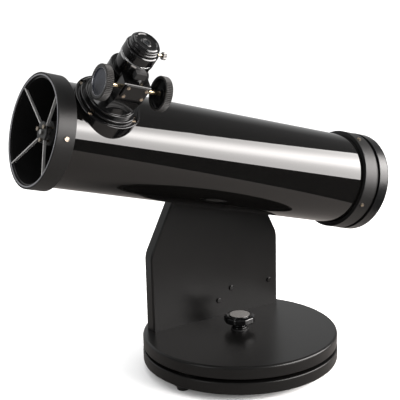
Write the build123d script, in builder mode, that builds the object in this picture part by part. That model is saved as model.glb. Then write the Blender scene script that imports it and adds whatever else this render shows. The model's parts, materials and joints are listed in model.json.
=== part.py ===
"""Table-top Dobsonian reflector: a Newtonian tube on a one-armed alt-azimuth stand.

Millimetres, +Z up. The feet stand on z = 0. The tube's front end points to -X and upwards.
"""
import os
from math import cos, pi, radians, sin

from build123d import *

os.makedirs("parts", exist_ok=True)

# ---- stand: places ----
AZIMUTH_X = 57.0
FOOT_HEIGHT = 12.0
BOARD_THICKNESS = 19.0
GROUND_BOARD_RADIUS = 154.9
TURNTABLE_RADIUS = 154.4
PAD_THICKNESS = 5.0
GROUND_TOP_Z = FOOT_HEIGHT + BOARD_THICKNESS
TURNTABLE_Z = GROUND_TOP_Z + PAD_THICKNESS
TURNTABLE_TOP_Z = 55.3
BOARD_EDGE_RADIUS = 4.0
FOOT_CIRCLE_RADIUS = 136.0
FOOT_FIRST_ANGLE = 196.3
FOOT_RADIUS = 14.0
FOOT_SCREW_RADIUS = 2.0

# ---- azimuth pivot ----
BOLT_RADIUS = 5.0
RUNNING_CLEARANCE = 0.05
AZIMUTH_BUSH_RADIUS = 8.0
AZIMUTH_KNOB_RADIUS = 25.0
AZIMUTH_KNOB_TOP_Z = 80.0
WASHER_THICKNESS = 1.6

# ---- side panel ----
PANEL_FRONT_Y = 63.6
PANEL_THICKNESS = 22.0
PANEL_BACK_Y = PANEL_FRONT_Y + PANEL_THICKNESS
PANEL_HALF_WIDTH = 121.5
PANEL_SHOULDER_RADIUS = 40.0
PANEL_SHOULDER_Z = 171.0
PANEL_TOP_RADIUS = 44.0
PANEL_EDGE_RADIUS = 3.0
BOLT_PLACES = ((2.0, 83.2), (27.1, 100.4), (103.5, 99.6))
PANEL_BOLT_RADIUS = 2.5
PANEL_BOLT_HEAD_RADIUS = 4.2
BRACKET_THICKNESS = 2.5

# ---- altitude pivot ----
PIVOT_Z = 325.6
TUBE_Y = -16.4
TUBE_TILT = 14.7
ALTITUDE_BUSH_RADIUS = 9.0
FRICTION_DISC_RADIUS = 28.0
ALTITUDE_KNOB_RADIUS = 25.0

# ---- optical tube: stations are distances in front of the altitude pivot ----
TUBE_RADIUS = 71.7
TUBE_WALL = 1.2
TUBE_INNER_RADIUS = TUBE_RADIUS - TUBE_WALL
FRONT_FACE = 347.5
FRONT_RING_LENGTH = 26.0
RING_RADIUS = 77.8
RING_BORE = 71.9
REAR_RING_FRONT = -180.0
REAR_RING_STEP = -204.3
REAR_RING_BACK = -209.0
REAR_RING_STEP_RADIUS = 75.0
CAP_STEP = -210.2
CAP_RADIUS = 78.3
CAP_BACK = -231.3
FOCAL_LENGTH = 640.0
MIRROR_RADIUS = 51.0
MIRROR_THICKNESS = 16.0
MIRROR_FRONT = -187.0
CELL_FRONT = MIRROR_FRONT - MIRROR_THICKNESS - 2.0
CELL_THICKNESS = 6.0
COLLIMATION_RADIUS = 42.0

# ---- spider and secondary ----
HUB_FRONT = 334.0
HUB_THICKNESS = 3.0
HUB_RADIUS = 14.5
VANE_WIDTH = 1.8
VANE_DEPTH = 4.5
HOLDER_RADIUS = 16.5
HOLDER_BACK = 323.0
SECONDARY_RADIUS = 17.5
SECONDARY_THICKNESS = 5.0
SECONDARY_SCREW_CIRCLE = 10.9

# ---- focuser: heights are distances from the tube's axis ----
FOCUS_STATION = FRONT_FACE - 77.0
FOCUS_TURN = 41.0
BASE_RADIUS = 47.0
BASE_TOP = 75.0
BODY_FLANGE_RADIUS = 36.0
BODY_FLANGE_TOP = 84.0
BODY_RADIUS = 27.5
BODY_TOP = 138.0
DRAWTUBE_RADIUS = 22.0
DRAWTUBE_BORE = 19.0
DRAWTUBE_BOTTOM = 84.0
DRAWTUBE_TOP = 156.0
HOLDER_TOP = 174.0
EYEPIECE_BARREL_RADIUS = 15.875
EYEPIECE_TOP = 185.0
HOUSING_HALF_WIDTH = 19.0
HOUSING_FACE = 36.5
HOUSING_TOP = 142.0
PLATE_THICKNESS = 2.5
SHAFT_Y = 27.5
SHAFT_Z = 129.0
SHAFT_RADIUS = 3.0
PINION_TEETH = 10
PITCH_RADIUS = 4.0
FOCUS_KNOB_RADIUS = 23.0
FOCUS_KNOB_WIDTH = 10.0
FOCUS_KNOB_INNER_FACE = 37.8

# ---- frames ----
PIVOT = Vector(AZIMUTH_X, TUBE_Y, PIVOT_Z)
SLOPE = radians(TUBE_TILT)
TUBE = Plane(origin=PIVOT, x_dir=(sin(SLOPE), 0, cos(SLOPE)), z_dir=(-cos(SLOPE), 0, sin(SLOPE)))
TUBE_SECTION = Plane(origin=PIVOT, x_dir=TUBE.x_dir, z_dir=-TUBE.y_dir)
TUBE_AXIS = Axis(PIVOT, TUBE.z_dir)
TURN = radians(FOCUS_TURN)
OUTWARD = TUBE.x_dir * cos(TURN) - TUBE.y_dir * sin(TURN)
FOCUS_ORIGIN = PIVOT + TUBE.z_dir * FOCUS_STATION
FOCUS = Plane(origin=FOCUS_ORIGIN, x_dir=TUBE.z_dir, z_dir=OUTWARD)
FOCUS_SECTION = Plane(origin=FOCUS_ORIGIN, x_dir=FOCUS.x_dir, z_dir=-FOCUS.y_dir)
FOCUS_AXIS = Axis(FOCUS_ORIGIN, OUTWARD)
BASE = Plane(origin=(AZIMUTH_X, 0, 0))
BASE_SECTION = Plane(origin=(AZIMUTH_X, 0, 0), x_dir=(1, 0, 0), z_dir=(0, -1, 0))
AZIMUTH_AXIS = Axis((AZIMUTH_X, 0, 0), (0, 0, 1))
ALTITUDE = Plane(origin=(AZIMUTH_X, 0, PIVOT_Z), x_dir=(1, 0, 0), z_dir=(0, 1, 0))
ALTITUDE_SECTION = Plane(origin=(AZIMUTH_X, 0, PIVOT_Z), x_dir=(1, 0, 0), z_dir=(0, 0, 1))
ALTITUDE_AXIS = Axis((AZIMUTH_X, 0, PIVOT_Z), (0, 1, 0))


def turned(points, section, axis, mode=Mode.ADD):
    """Revolve a closed profile of (radius, height) points."""
    with BuildSketch(section) as profile:
        with BuildLine():
            Polyline(*points, close=True)
        make_face()
    revolve(profile.sketch, axis=axis, mode=mode)


def disc(plane, radius, height, mode=Mode.ADD):
    """A round bar that stands on a plane."""
    with BuildSketch(plane) as profile:
        Circle(radius)
    extrude(profile.sketch, amount=height, mode=mode)


def pipe(plane, radius, bore, height, mode=Mode.ADD):
    """A round tube that stands on a plane."""
    with BuildSketch(plane) as profile:
        Circle(radius)
        Circle(bore, mode=Mode.SUBTRACT)
    extrude(profile.sketch, amount=height, mode=mode)


def block(plane, width, depth, height, mode=Mode.ADD):
    """A bar with a rectangular foot that stands on a plane."""
    with BuildSketch(plane) as profile:
        Rectangle(width, depth)
    extrude(profile.sketch, amount=height, mode=mode)


def around(frame, radius, degrees, height):
    """A plane parallel to a frame, moved to a place on a circle."""
    turn = radians(degrees)
    place = frame.from_local_coords((radius * cos(turn), radius * sin(turn), height))
    return Plane(origin=place, x_dir=frame.x_dir, z_dir=frame.z_dir)


def facing_out(frame, radius, degrees, height):
    """A plane whose normal points away from a frame's axis."""
    turn = radians(degrees)
    out = frame.x_dir * cos(turn) + frame.y_dir * sin(turn)
    place = frame.from_local_coords((radius * cos(turn), radius * sin(turn), height))
    return Plane(origin=place, x_dir=frame.z_dir, z_dir=out)


def pan_screw(plane, shank_radius, shank_length, head_radius, head_height):
    """A slotted pan-head screw whose head sits on a plane and whose shank goes below it."""
    disc(plane, shank_radius, -shank_length)
    disc(plane, head_radius, head_height)
    slot = plane.offset(head_height * 0.6)
    block(slot, head_radius * 2.2, head_radius * 0.3, head_height, Mode.SUBTRACT)


def lobed(plane, radius, lobes, notch_radius, height):
    """A knob blank with round finger notches."""
    with BuildSketch(plane) as profile:
        Circle(radius)
        with PolarLocations(radius + notch_radius * 0.55, lobes):
            Circle(notch_radius, mode=Mode.SUBTRACT)
    extrude(profile.sketch, amount=height)


# ======== stand ========
HEAD_RECESS_RADIUS = 11.0
COUNTERBORE_DEPTH = 9.0
FOOT_ANGLES = (FOOT_FIRST_ANGLE, FOOT_FIRST_ANGLE + 120.0, FOOT_FIRST_ANGLE + 240.0)
PAD_CIRCLE_RADIUS = 120.0

with BuildPart() as ground_board:
    disc(BASE.offset(FOOT_HEIGHT), GROUND_BOARD_RADIUS, BOARD_THICKNESS)
    fillet(ground_board.edges().filter_by(GeomType.CIRCLE), 2.5)
    disc(BASE.offset(FOOT_HEIGHT), BOLT_RADIUS + 0.2, BOARD_THICKNESS, Mode.SUBTRACT)
    disc(BASE.offset(FOOT_HEIGHT), HEAD_RECESS_RADIUS, COUNTERBORE_DEPTH, Mode.SUBTRACT)
    for angle in FOOT_ANGLES:
        hole = around(BASE, FOOT_CIRCLE_RADIUS, angle, FOOT_HEIGHT)
        disc(hole, FOOT_SCREW_RADIUS + 0.1, 12.5, Mode.SUBTRACT)
ground_board.part.label = "ground_board"
export_step(ground_board.part, "parts/ground_board.step")

with BuildPart() as feet:
    for angle in FOOT_ANGLES:
        foot = around(BASE, FOOT_CIRCLE_RADIUS, angle, 0)
        disc(foot, FOOT_RADIUS - 3.0, 8.5)
        disc(foot.offset(8.5), FOOT_RADIUS, FOOT_HEIGHT - 8.5)
    fillet(feet.faces().sort_by(Axis.Z)[0:3].edges(), 2.5)
    for angle in FOOT_ANGLES:
        foot = around(BASE, FOOT_CIRCLE_RADIUS, angle, 0)
        disc(foot, FOOT_SCREW_RADIUS + 0.1, FOOT_HEIGHT, Mode.SUBTRACT)
        disc(foot, 4.5, 5.0, Mode.SUBTRACT)
feet.part.label = "feet"
export_step(feet.part, "parts/feet.step")

with BuildPart() as foot_screws:
    for angle in FOOT_ANGLES:
        seat = around(BASE, FOOT_CIRCLE_RADIUS, angle, 5.0)
        disc(seat, FOOT_SCREW_RADIUS, 19.0)
        disc(seat, 4.0, -2.5)
foot_screws.part.label = "foot_screws"
export_step(foot_screws.part, "parts/foot_screws.step")

with BuildPart() as azimuth_pads:
    for angle in FOOT_ANGLES:
        disc(around(BASE, PAD_CIRCLE_RADIUS, angle, GROUND_TOP_Z), 14.0, PAD_THICKNESS - 0.1)
azimuth_pads.part.label = "azimuth_pads"
export_step(azimuth_pads.part, "parts/azimuth_pads.step")

# The bolt's head is held in the ground board, so the bolt stands still and the turntable turns.
BOLT_HEAD_Z = FOOT_HEIGHT + COUNTERBORE_DEPTH
AZIMUTH_BOLT_TOP = 72.0

with BuildPart() as azimuth_bolt:
    disc(BASE.offset(BOLT_HEAD_Z), BOLT_RADIUS, AZIMUTH_BOLT_TOP - BOLT_HEAD_Z)
    with BuildSketch(BASE.offset(BOLT_HEAD_Z)) as hexagon:
        RegularPolygon(8.5, 6)
    extrude(hexagon.sketch, amount=-6.0)
azimuth_bolt.part.label = "azimuth_bolt"
export_step(azimuth_bolt.part, "parts/azimuth_bolt.step")

with BuildPart() as turntable_board:
    disc(BASE.offset(TURNTABLE_Z), TURNTABLE_RADIUS, TURNTABLE_TOP_Z - TURNTABLE_Z)
    fillet(turntable_board.edges().group_by(Axis.Z)[-1], BOARD_EDGE_RADIUS)
    fillet(turntable_board.edges().group_by(Axis.Z)[0], 2.0)
    disc(BASE.offset(TURNTABLE_Z), AZIMUTH_BUSH_RADIUS, 40.0, Mode.SUBTRACT)
    for x in (-90.0, 0.0, 90.0):
        hole = Plane(origin=(AZIMUTH_X + x, PANEL_FRONT_Y + PANEL_THICKNESS / 2, TURNTABLE_Z))
        disc(hole, 2.6, 30.0, Mode.SUBTRACT)
        disc(hole, 5.0, 3.5, Mode.SUBTRACT)
turntable_board.part.label = "turntable_board"
export_step(turntable_board.part, "parts/turntable_board.step")

with BuildPart() as azimuth_bush:
    height = TURNTABLE_TOP_Z - TURNTABLE_Z
    pipe(BASE.offset(TURNTABLE_Z), AZIMUTH_BUSH_RADIUS, BOLT_RADIUS + RUNNING_CLEARANCE, height)
azimuth_bush.part.label = "azimuth_bush"
export_step(azimuth_bush.part, "parts/azimuth_bush.step")

with BuildPart() as knob_washers:
    for seat in (BASE.offset(TURNTABLE_TOP_Z), ALTITUDE.offset(PANEL_BACK_Y)):
        pipe(seat, 14.0, BOLT_RADIUS + RUNNING_CLEARANCE, WASHER_THICKNESS)
knob_washers.part.label = "knob_washers"
export_step(knob_washers.part, "parts/knob_washers.step")


def clamp_knob(section, axis, rim_plane, foot, top, radius, bolt_depth):
    """A lobed clamping knob: a foot flange, a neck, a dished rim and a threaded blind hole."""
    rim = foot + (top - foot) * 0.42
    lobed(rim_plane, radius, 9, 3.0, top - rim)
    chamfer_depth = 2.5
    turned([(0, rim), (0, foot), (13.0, foot), (13.0, foot + 2.5), (10.0, foot + 3.5),
            (10.0, rim - 1.5), (14.0, rim)], section, axis)
    turned([(radius - chamfer_depth, top), (radius + 1.0, top), (radius + 1.0, top - 4.0),
            (radius, top - 4.0)], section, axis, Mode.SUBTRACT)
    turned([(11.0, top), (radius - 6.0, top), (radius - 9.0, top - 3.0), (11.0, top - 3.0)],
           section, axis, Mode.SUBTRACT)
    turned([(0, foot), (BOLT_RADIUS + RUNNING_CLEARANCE, foot),
            (BOLT_RADIUS + RUNNING_CLEARANCE, bolt_depth), (0, bolt_depth)],
           section, axis, Mode.SUBTRACT)


KNOB_FOOT_Z = TURNTABLE_TOP_Z + WASHER_THICKNESS + 0.2
KNOB_RIM_Z = KNOB_FOOT_Z + (AZIMUTH_KNOB_TOP_Z - KNOB_FOOT_Z) * 0.42

with BuildPart() as azimuth_knob:
    clamp_knob(BASE_SECTION, AZIMUTH_AXIS, BASE.offset(KNOB_RIM_Z), KNOB_FOOT_Z,
               AZIMUTH_KNOB_TOP_Z, AZIMUTH_KNOB_RADIUS, AZIMUTH_BOLT_TOP + 1.0)
azimuth_knob.part.label = "azimuth_knob"
export_step(azimuth_knob.part, "parts/azimuth_knob.step")

# ======== side panel ========
SKETCH_PANEL = Plane(origin=(AZIMUTH_X, PANEL_BACK_Y, 0), x_dir=(1, 0, 0), z_dir=(0, -1, 0))
SHOULDER_X = PANEL_HALF_WIDTH - PANEL_SHOULDER_RADIUS

with BuildPart() as side_panel:
    with BuildSketch(SKETCH_PANEL) as outline:
        with Locations((0, (TURNTABLE_TOP_Z + PANEL_SHOULDER_Z) / 2)):
            Rectangle(2 * PANEL_HALF_WIDTH, PANEL_SHOULDER_Z - TURNTABLE_TOP_Z)
        with Locations((-SHOULDER_X, PANEL_SHOULDER_Z), (SHOULDER_X, PANEL_SHOULDER_Z)):
            Circle(PANEL_SHOULDER_RADIUS)
        with Locations((0, PIVOT_Z)):
            Circle(PANEL_TOP_RADIUS)
        make_hull()
    extrude(outline.sketch, amount=PANEL_THICKNESS)
    front = side_panel.faces().sort_by(Axis.Y)[0]
    back = side_panel.faces().sort_by(Axis.Y)[-1]
    rounded = (front.edges() + back.edges()).filter_by_position(
        Axis.Z, TURNTABLE_TOP_Z + 1.0, PIVOT_Z + PANEL_TOP_RADIUS + 1.0)
    fillet(rounded, PANEL_EDGE_RADIUS)
    disc(ALTITUDE.offset(PANEL_FRONT_Y), ALTITUDE_BUSH_RADIUS, PANEL_THICKNESS, Mode.SUBTRACT)
    for x, z in BOLT_PLACES:
        hole = Plane(origin=(AZIMUTH_X + x, PANEL_FRONT_Y, z), x_dir=(1, 0, 0), z_dir=(0, 1, 0))
        disc(hole, PANEL_BOLT_RADIUS + 0.1, PANEL_THICKNESS, Mode.SUBTRACT)
    for x in (-90.0, 0.0, 90.0):
        hole = Plane(origin=(AZIMUTH_X + x, PANEL_FRONT_Y + PANEL_THICKNESS / 2, TURNTABLE_TOP_Z))
        disc(hole, 2.6, 24.0 if x else 12.0, Mode.SUBTRACT)
side_panel.part.label = "side_panel"
export_step(side_panel.part, "parts/side_panel.step")

with BuildPart() as panel_screws:
    for x in (-90.0, 0.0, 90.0):
        seat = Plane(origin=(AZIMUTH_X + x, PANEL_FRONT_Y + PANEL_THICKNESS / 2, TURNTABLE_Z + 3.5))
        disc(seat, 2.5, 38.0 if x else 26.0)
        disc(seat, 4.6, -3.0)
panel_screws.part.label = "panel_screws"
export_step(panel_screws.part, "parts/panel_screws.step")

with BuildPart() as panel_bolts:
    for x, z in BOLT_PLACES:
        seat = Plane(origin=(AZIMUTH_X + x, PANEL_FRONT_Y, z), x_dir=(1, 0, 0), z_dir=(0, -1, 0))
        disc(seat, PANEL_BOLT_RADIUS, -(PANEL_THICKNESS + BRACKET_THICKNESS + 5.0))
        disc(seat, PANEL_BOLT_HEAD_RADIUS, 2.4)
    fillet(panel_bolts.faces().filter_by(Axis.Y).sort_by(Axis.Y)[0:3].edges(), 1.6)
panel_bolts.part.label = "panel_bolts"
export_step(panel_bolts.part, "parts/panel_bolts.step")

BRACKET_X = (-12.0, 117.0)
BRACKET_TOP_Z = 112.0
BRACKET_DEPTH = 18.0

with BuildPart() as panel_bracket:
    middle = AZIMUTH_X + sum(BRACKET_X) / 2
    width = BRACKET_X[1] - BRACKET_X[0]
    upright = Plane(origin=(middle, PANEL_BACK_Y, (TURNTABLE_TOP_Z + BRACKET_TOP_Z) / 2),
                    x_dir=(1, 0, 0), z_dir=(0, 1, 0))
    block(upright, width, BRACKET_TOP_Z - TURNTABLE_TOP_Z, BRACKET_THICKNESS)
    flange = Plane(origin=(middle - 12.0, PANEL_BACK_Y + BRACKET_DEPTH / 2, TURNTABLE_TOP_Z))
    block(flange, width - 24.0, BRACKET_DEPTH, BRACKET_THICKNESS)
    fillet(panel_bracket.edges().filter_by(Axis.Y).group_by(Axis.Z)[-1], 8.0)
    for x, z in BOLT_PLACES:
        hole = Plane(origin=(AZIMUTH_X + x, PANEL_BACK_Y, z), x_dir=(1, 0, 0), z_dir=(0, 1, 0))
        disc(hole, PANEL_BOLT_RADIUS + 0.1, BRACKET_THICKNESS, Mode.SUBTRACT)
    for x in (10.0, 70.0):
        hole = Plane(origin=(AZIMUTH_X + x, PANEL_BACK_Y + 11.0, TURNTABLE_TOP_Z))
        disc(hole, 2.2, BRACKET_THICKNESS, Mode.SUBTRACT)
panel_bracket.part.label = "panel_bracket"
export_step(panel_bracket.part, "parts/panel_bracket.step")

with BuildPart() as panel_nuts:
    for x, z in BOLT_PLACES:
        seat = Plane(origin=(AZIMUTH_X + x, PANEL_BACK_Y + BRACKET_THICKNESS, z),
                     x_dir=(1, 0, 0), z_dir=(0, 1, 0))
        with BuildSketch(seat) as hexagon:
            RegularPolygon(4.6, 6)
            Circle(PANEL_BOLT_RADIUS, mode=Mode.SUBTRACT)
        extrude(hexagon.sketch, amount=4.0)
panel_nuts.part.label = "panel_nuts"
export_step(panel_nuts.part, "parts/panel_nuts.step")

with BuildPart() as bracket_screws:
    for x in (10.0, 70.0):
        top = TURNTABLE_TOP_Z + BRACKET_THICKNESS
        seat = Plane(origin=(AZIMUTH_X + x, PANEL_BACK_Y + 11.0, top))
        disc(seat, 3.8, 2.4)
        disc(seat, 2.0, -BRACKET_THICKNESS)
bracket_screws.part.label = "bracket_screws"
export_step(bracket_screws.part, "parts/bracket_screws.step")

# ======== altitude bearing ========
SADDLE_FRONT_Y = TUBE_Y + TUBE_RADIUS
SADDLE_BACK_Y = SADDLE_FRONT_Y + 4.6
SADDLE_LENGTH = 80.0
SADDLE_WIDTH = 62.0
DISC_FRONT_Y = SADDLE_BACK_Y + 0.2
SHAFT_END_Y = PANEL_BACK_Y + 24.0
SADDLE_SCREW_PLACES = ((-30.0, -14.0), (30.0, -14.0), (-30.0, 14.0), (30.0, 14.0))
SADDLE_PLANE = Plane(origin=(AZIMUTH_X, TUBE_Y + 40.0, PIVOT_Z), x_dir=TUBE.z_dir, z_dir=(0, 1, 0))

with BuildPart() as altitude_saddle:
    block(SADDLE_PLANE, SADDLE_LENGTH, SADDLE_WIDTH, SADDLE_BACK_Y - TUBE_Y - 40.0)
    fillet(altitude_saddle.edges().filter_by(Axis.Y), 10.0)
    disc(TUBE.offset(-100.0), TUBE_RADIUS, 200.0, Mode.SUBTRACT)
    disc(SADDLE_PLANE, BOLT_RADIUS, 60.0, Mode.SUBTRACT)
    for x, y in SADDLE_SCREW_PLACES:
        place = SADDLE_PLANE.from_local_coords((x, y, 0))
        hole = Plane(origin=place, x_dir=TUBE.z_dir, z_dir=(0, 1, 0))
        disc(hole, 2.1, 60.0, Mode.SUBTRACT)
        recess = hole.offset(SADDLE_BACK_Y - TUBE_Y - 40.0 - 2.5)
        disc(recess, 4.0, 10.0, Mode.SUBTRACT)
altitude_saddle.part.label = "altitude_saddle"
export_step(altitude_saddle.part, "parts/altitude_saddle.step")

NUT_INNER_Y = TUBE_Y + TUBE_INNER_RADIUS - 8.0

with BuildPart() as saddle_screws:
    for x, y in SADDLE_SCREW_PLACES:
        place = SADDLE_PLANE.from_local_coords((x, y, 0))
        seat = Plane(origin=(place.X, SADDLE_BACK_Y - 2.5, place.Z), x_dir=TUBE.z_dir,
                     z_dir=(0, 1, 0))
        disc(seat, 3.8, 2.2)
        disc(seat, 2.0, NUT_INNER_Y - SADDLE_BACK_Y + 2.5)
saddle_screws.part.label = "saddle_screws"
export_step(saddle_screws.part, "parts/saddle_screws.step")

with BuildPart() as altitude_shaft:
    disc(ALTITUDE.offset(SADDLE_FRONT_Y + 0.1), BOLT_RADIUS, SHAFT_END_Y - SADDLE_FRONT_Y)
altitude_shaft.part.label = "altitude_shaft"
export_step(altitude_shaft.part, "parts/altitude_shaft.step")

with BuildPart() as friction_disc:
    thickness = PANEL_FRONT_Y - DISC_FRONT_Y
    seat = ALTITUDE.offset(DISC_FRONT_Y)
    pipe(seat, FRICTION_DISC_RADIUS, BOLT_RADIUS + RUNNING_CLEARANCE, thickness)
friction_disc.part.label = "altitude_friction_disc"
export_step(friction_disc.part, "parts/altitude_friction_disc.step")

with BuildPart() as altitude_bush:
    seat = ALTITUDE.offset(PANEL_FRONT_Y)
    pipe(seat, ALTITUDE_BUSH_RADIUS, BOLT_RADIUS + RUNNING_CLEARANCE, PANEL_THICKNESS)
altitude_bush.part.label = "altitude_bush"
export_step(altitude_bush.part, "parts/altitude_bush.step")

ALTITUDE_KNOB_FOOT = PANEL_BACK_Y + WASHER_THICKNESS + 0.2
ALTITUDE_KNOB_TOP = ALTITUDE_KNOB_FOOT + 30.0
ALTITUDE_KNOB_RIM = ALTITUDE_KNOB_FOOT + 30.0 * 0.42

with BuildPart() as altitude_knob:
    clamp_knob(ALTITUDE_SECTION, ALTITUDE_AXIS, ALTITUDE.offset(ALTITUDE_KNOB_RIM),
               ALTITUDE_KNOB_FOOT, ALTITUDE_KNOB_TOP, ALTITUDE_KNOB_RADIUS, SHAFT_END_Y + 1.5)
altitude_knob.part.label = "altitude_knob"
export_step(altitude_knob.part, "parts/altitude_knob.step")

# ======== optical tube ========
FRONT_RING_ANGLES = (-89.0, 31.0, 151.0)
REAR_RING_ANGLES = (-26.0, -112.0, 68.0, 154.0)
RING_SCREW_RADIUS = 1.5
FRONT_RING_SCREW_STATION = FRONT_FACE - 13.9
REAR_RING_SCREW_STATION = -188.0
FOCUSER_SCREW_ANGLES = (40.0, 140.0, 220.0, 320.0)
FOCUSER_SCREW_CIRCLE = 42.5
TUBE_LIP = 2.8

with BuildPart() as tube:
    pipe(TUBE.offset(REAR_RING_BACK + 3.0), TUBE_RADIUS, TUBE_INNER_RADIUS,
         FRONT_FACE - TUBE_LIP - REAR_RING_BACK - 3.0)
    disc(FOCUS.offset(50.0), DRAWTUBE_RADIUS + 2.0, 40.0, Mode.SUBTRACT)
    for angle in FRONT_RING_ANGLES:
        hole = facing_out(TUBE, 60.0, angle, FRONT_RING_SCREW_STATION)
        disc(hole, RING_SCREW_RADIUS + 0.1, 20.0, Mode.SUBTRACT)
    for angle in REAR_RING_ANGLES:
        hole = facing_out(TUBE, 60.0, angle, REAR_RING_SCREW_STATION)
        disc(hole, RING_SCREW_RADIUS + 0.1, 20.0, Mode.SUBTRACT)
    for x, y in SADDLE_SCREW_PLACES:
        place = SADDLE_PLANE.from_local_coords((x, y, 0))
        disc(Plane(origin=place, x_dir=TUBE.z_dir, z_dir=(0, 1, 0)), 2.1, 60.0, Mode.SUBTRACT)
    for angle in FOCUSER_SCREW_ANGLES:
        disc(around(FOCUS, FOCUSER_SCREW_CIRCLE, angle, 40.0), 1.6, 60.0, Mode.SUBTRACT)
tube.part.label = "tube"
export_step(tube.part, "parts/tube.step")

FRONT_RING_BACK = FRONT_FACE - FRONT_RING_LENGTH
LIP_BORE = 73.4

with BuildPart() as front_ring:
    turned([(RING_BORE, FRONT_RING_BACK), (RING_RADIUS - 0.6, FRONT_RING_BACK),
            (RING_RADIUS, FRONT_RING_BACK + 0.8), (RING_RADIUS, FRONT_FACE - 2.0),
            (RING_RADIUS - 0.6, FRONT_FACE - 0.6), (RING_RADIUS - 2.0, FRONT_FACE),
            (LIP_BORE + 0.6, FRONT_FACE), (LIP_BORE, FRONT_FACE - 0.6),
            (LIP_BORE, FRONT_FACE - TUBE_LIP), (RING_BORE, FRONT_FACE - TUBE_LIP)],
           TUBE_SECTION, TUBE_AXIS)
    for angle in FRONT_RING_ANGLES:
        hole = facing_out(TUBE, 60.0, angle, FRONT_RING_SCREW_STATION)
        disc(hole, RING_SCREW_RADIUS + 0.1, 20.0, Mode.SUBTRACT)
front_ring.part.label = "front_ring"
export_step(front_ring.part, "parts/front_ring.step")

with BuildPart() as front_ring_screws:
    for angle in FRONT_RING_ANGLES:
        pan_screw(facing_out(TUBE, RING_RADIUS, angle, FRONT_RING_SCREW_STATION),
                  RING_SCREW_RADIUS, 7.0, 3.0, 1.8)
front_ring_screws.part.label = "front_ring_screws"
export_step(front_ring_screws.part, "parts/front_ring_screws.step")

with BuildPart() as rear_ring:
    turned([(RING_BORE, REAR_RING_FRONT), (RING_RADIUS - 0.6, REAR_RING_FRONT),
            (RING_RADIUS, REAR_RING_FRONT - 0.8), (RING_RADIUS, REAR_RING_STEP + 0.8),
            (RING_RADIUS - 0.6, REAR_RING_STEP), (REAR_RING_STEP_RADIUS, REAR_RING_STEP),
            (REAR_RING_STEP_RADIUS, REAR_RING_BACK), (66.0, REAR_RING_BACK),
            (66.0, REAR_RING_BACK + 3.0), (RING_BORE, REAR_RING_BACK + 3.0)],
           TUBE_SECTION, TUBE_AXIS)
    for angle in REAR_RING_ANGLES:
        hole = facing_out(TUBE, 60.0, angle, REAR_RING_SCREW_STATION)
        disc(hole, RING_SCREW_RADIUS + 0.1, 20.0, Mode.SUBTRACT)
rear_ring.part.label = "rear_ring"
export_step(rear_ring.part, "parts/rear_ring.step")

with BuildPart() as rear_ring_screws:
    for angle in REAR_RING_ANGLES:
        pan_screw(facing_out(TUBE, RING_RADIUS, angle, REAR_RING_SCREW_STATION),
                  RING_SCREW_RADIUS, 7.0, 3.0, 1.8)
rear_ring_screws.part.label = "rear_ring_screws"
export_step(rear_ring_screws.part, "parts/rear_ring_screws.step")

# ======== mirror cell ========
CELL_BACK = CELL_FRONT - CELL_THICKNESS
CAP_PLATE = 3.0
COLLIMATION_ANGLES = (90.0, 210.0, 330.0)
LOCK_ANGLES = (30.0, 150.0, 270.0)
CAP_SCREW_ANGLES = (0.0, 120.0, 240.0)

with BuildPart() as rear_cap:
    turned([(71.0, REAR_RING_BACK - 0.2), (REAR_RING_STEP_RADIUS - 1.0, REAR_RING_BACK - 0.2),
            (REAR_RING_STEP_RADIUS - 1.0, CAP_STEP), (CAP_RADIUS - 0.4, CAP_STEP),
            (CAP_RADIUS, CAP_STEP - 0.6), (CAP_RADIUS, CAP_BACK + 5.0),
            (CAP_RADIUS - 0.7, CAP_BACK + 2.5), (CAP_RADIUS - 2.5, CAP_BACK + 0.7),
            (CAP_RADIUS - 5.0, CAP_BACK), (0, CAP_BACK), (0, CAP_BACK + CAP_PLATE),
            (68.5, CAP_BACK + CAP_PLATE), (71.0, CAP_BACK + CAP_PLATE + 3.0)],
           TUBE_SECTION, TUBE_AXIS)
    for angle in COLLIMATION_ANGLES + LOCK_ANGLES:
        hole = around(TUBE, COLLIMATION_RADIUS, angle, CAP_BACK)
        disc(hole, 2.15, CAP_PLATE, Mode.SUBTRACT)
    for angle in CAP_SCREW_ANGLES:
        disc(around(TUBE, 62.0, angle, CAP_BACK), 1.65, CAP_PLATE, Mode.SUBTRACT)
rear_cap.part.label = "rear_cap"
export_step(rear_cap.part, "parts/rear_cap.step")

with BuildPart() as mirror_cell:
    disc(TUBE.offset(CELL_BACK), 60.0, CELL_THICKNESS)
    for angle in COLLIMATION_ANGLES:
        disc(around(TUBE, COLLIMATION_RADIUS, angle, CELL_BACK), 2.0, CELL_THICKNESS, Mode.SUBTRACT)
mirror_cell.part.label = "mirror_cell"
export_step(mirror_cell.part, "parts/mirror_cell.step")

with BuildPart() as mirror_pads:
    for angle in COLLIMATION_ANGLES:
        disc(around(TUBE, 30.0, angle, CELL_FRONT), 6.0, 2.0)
mirror_pads.part.label = "mirror_pads"
export_step(mirror_pads.part, "parts/mirror_pads.step")

SAG = MIRROR_RADIUS ** 2 / (4 * FOCAL_LENGTH)

with BuildPart() as primary_mirror:
    disc(TUBE.offset(MIRROR_FRONT - MIRROR_THICKNESS), MIRROR_RADIUS, MIRROR_THICKNESS)
    with Locations(Location(TUBE.offset(MIRROR_FRONT - SAG + 2 * FOCAL_LENGTH))):
        Sphere(2 * FOCAL_LENGTH, rotation=(90, 0, 0), mode=Mode.SUBTRACT)
primary_mirror.part.label = "primary_mirror"
export_step(primary_mirror.part, "parts/primary_mirror.step")

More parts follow.
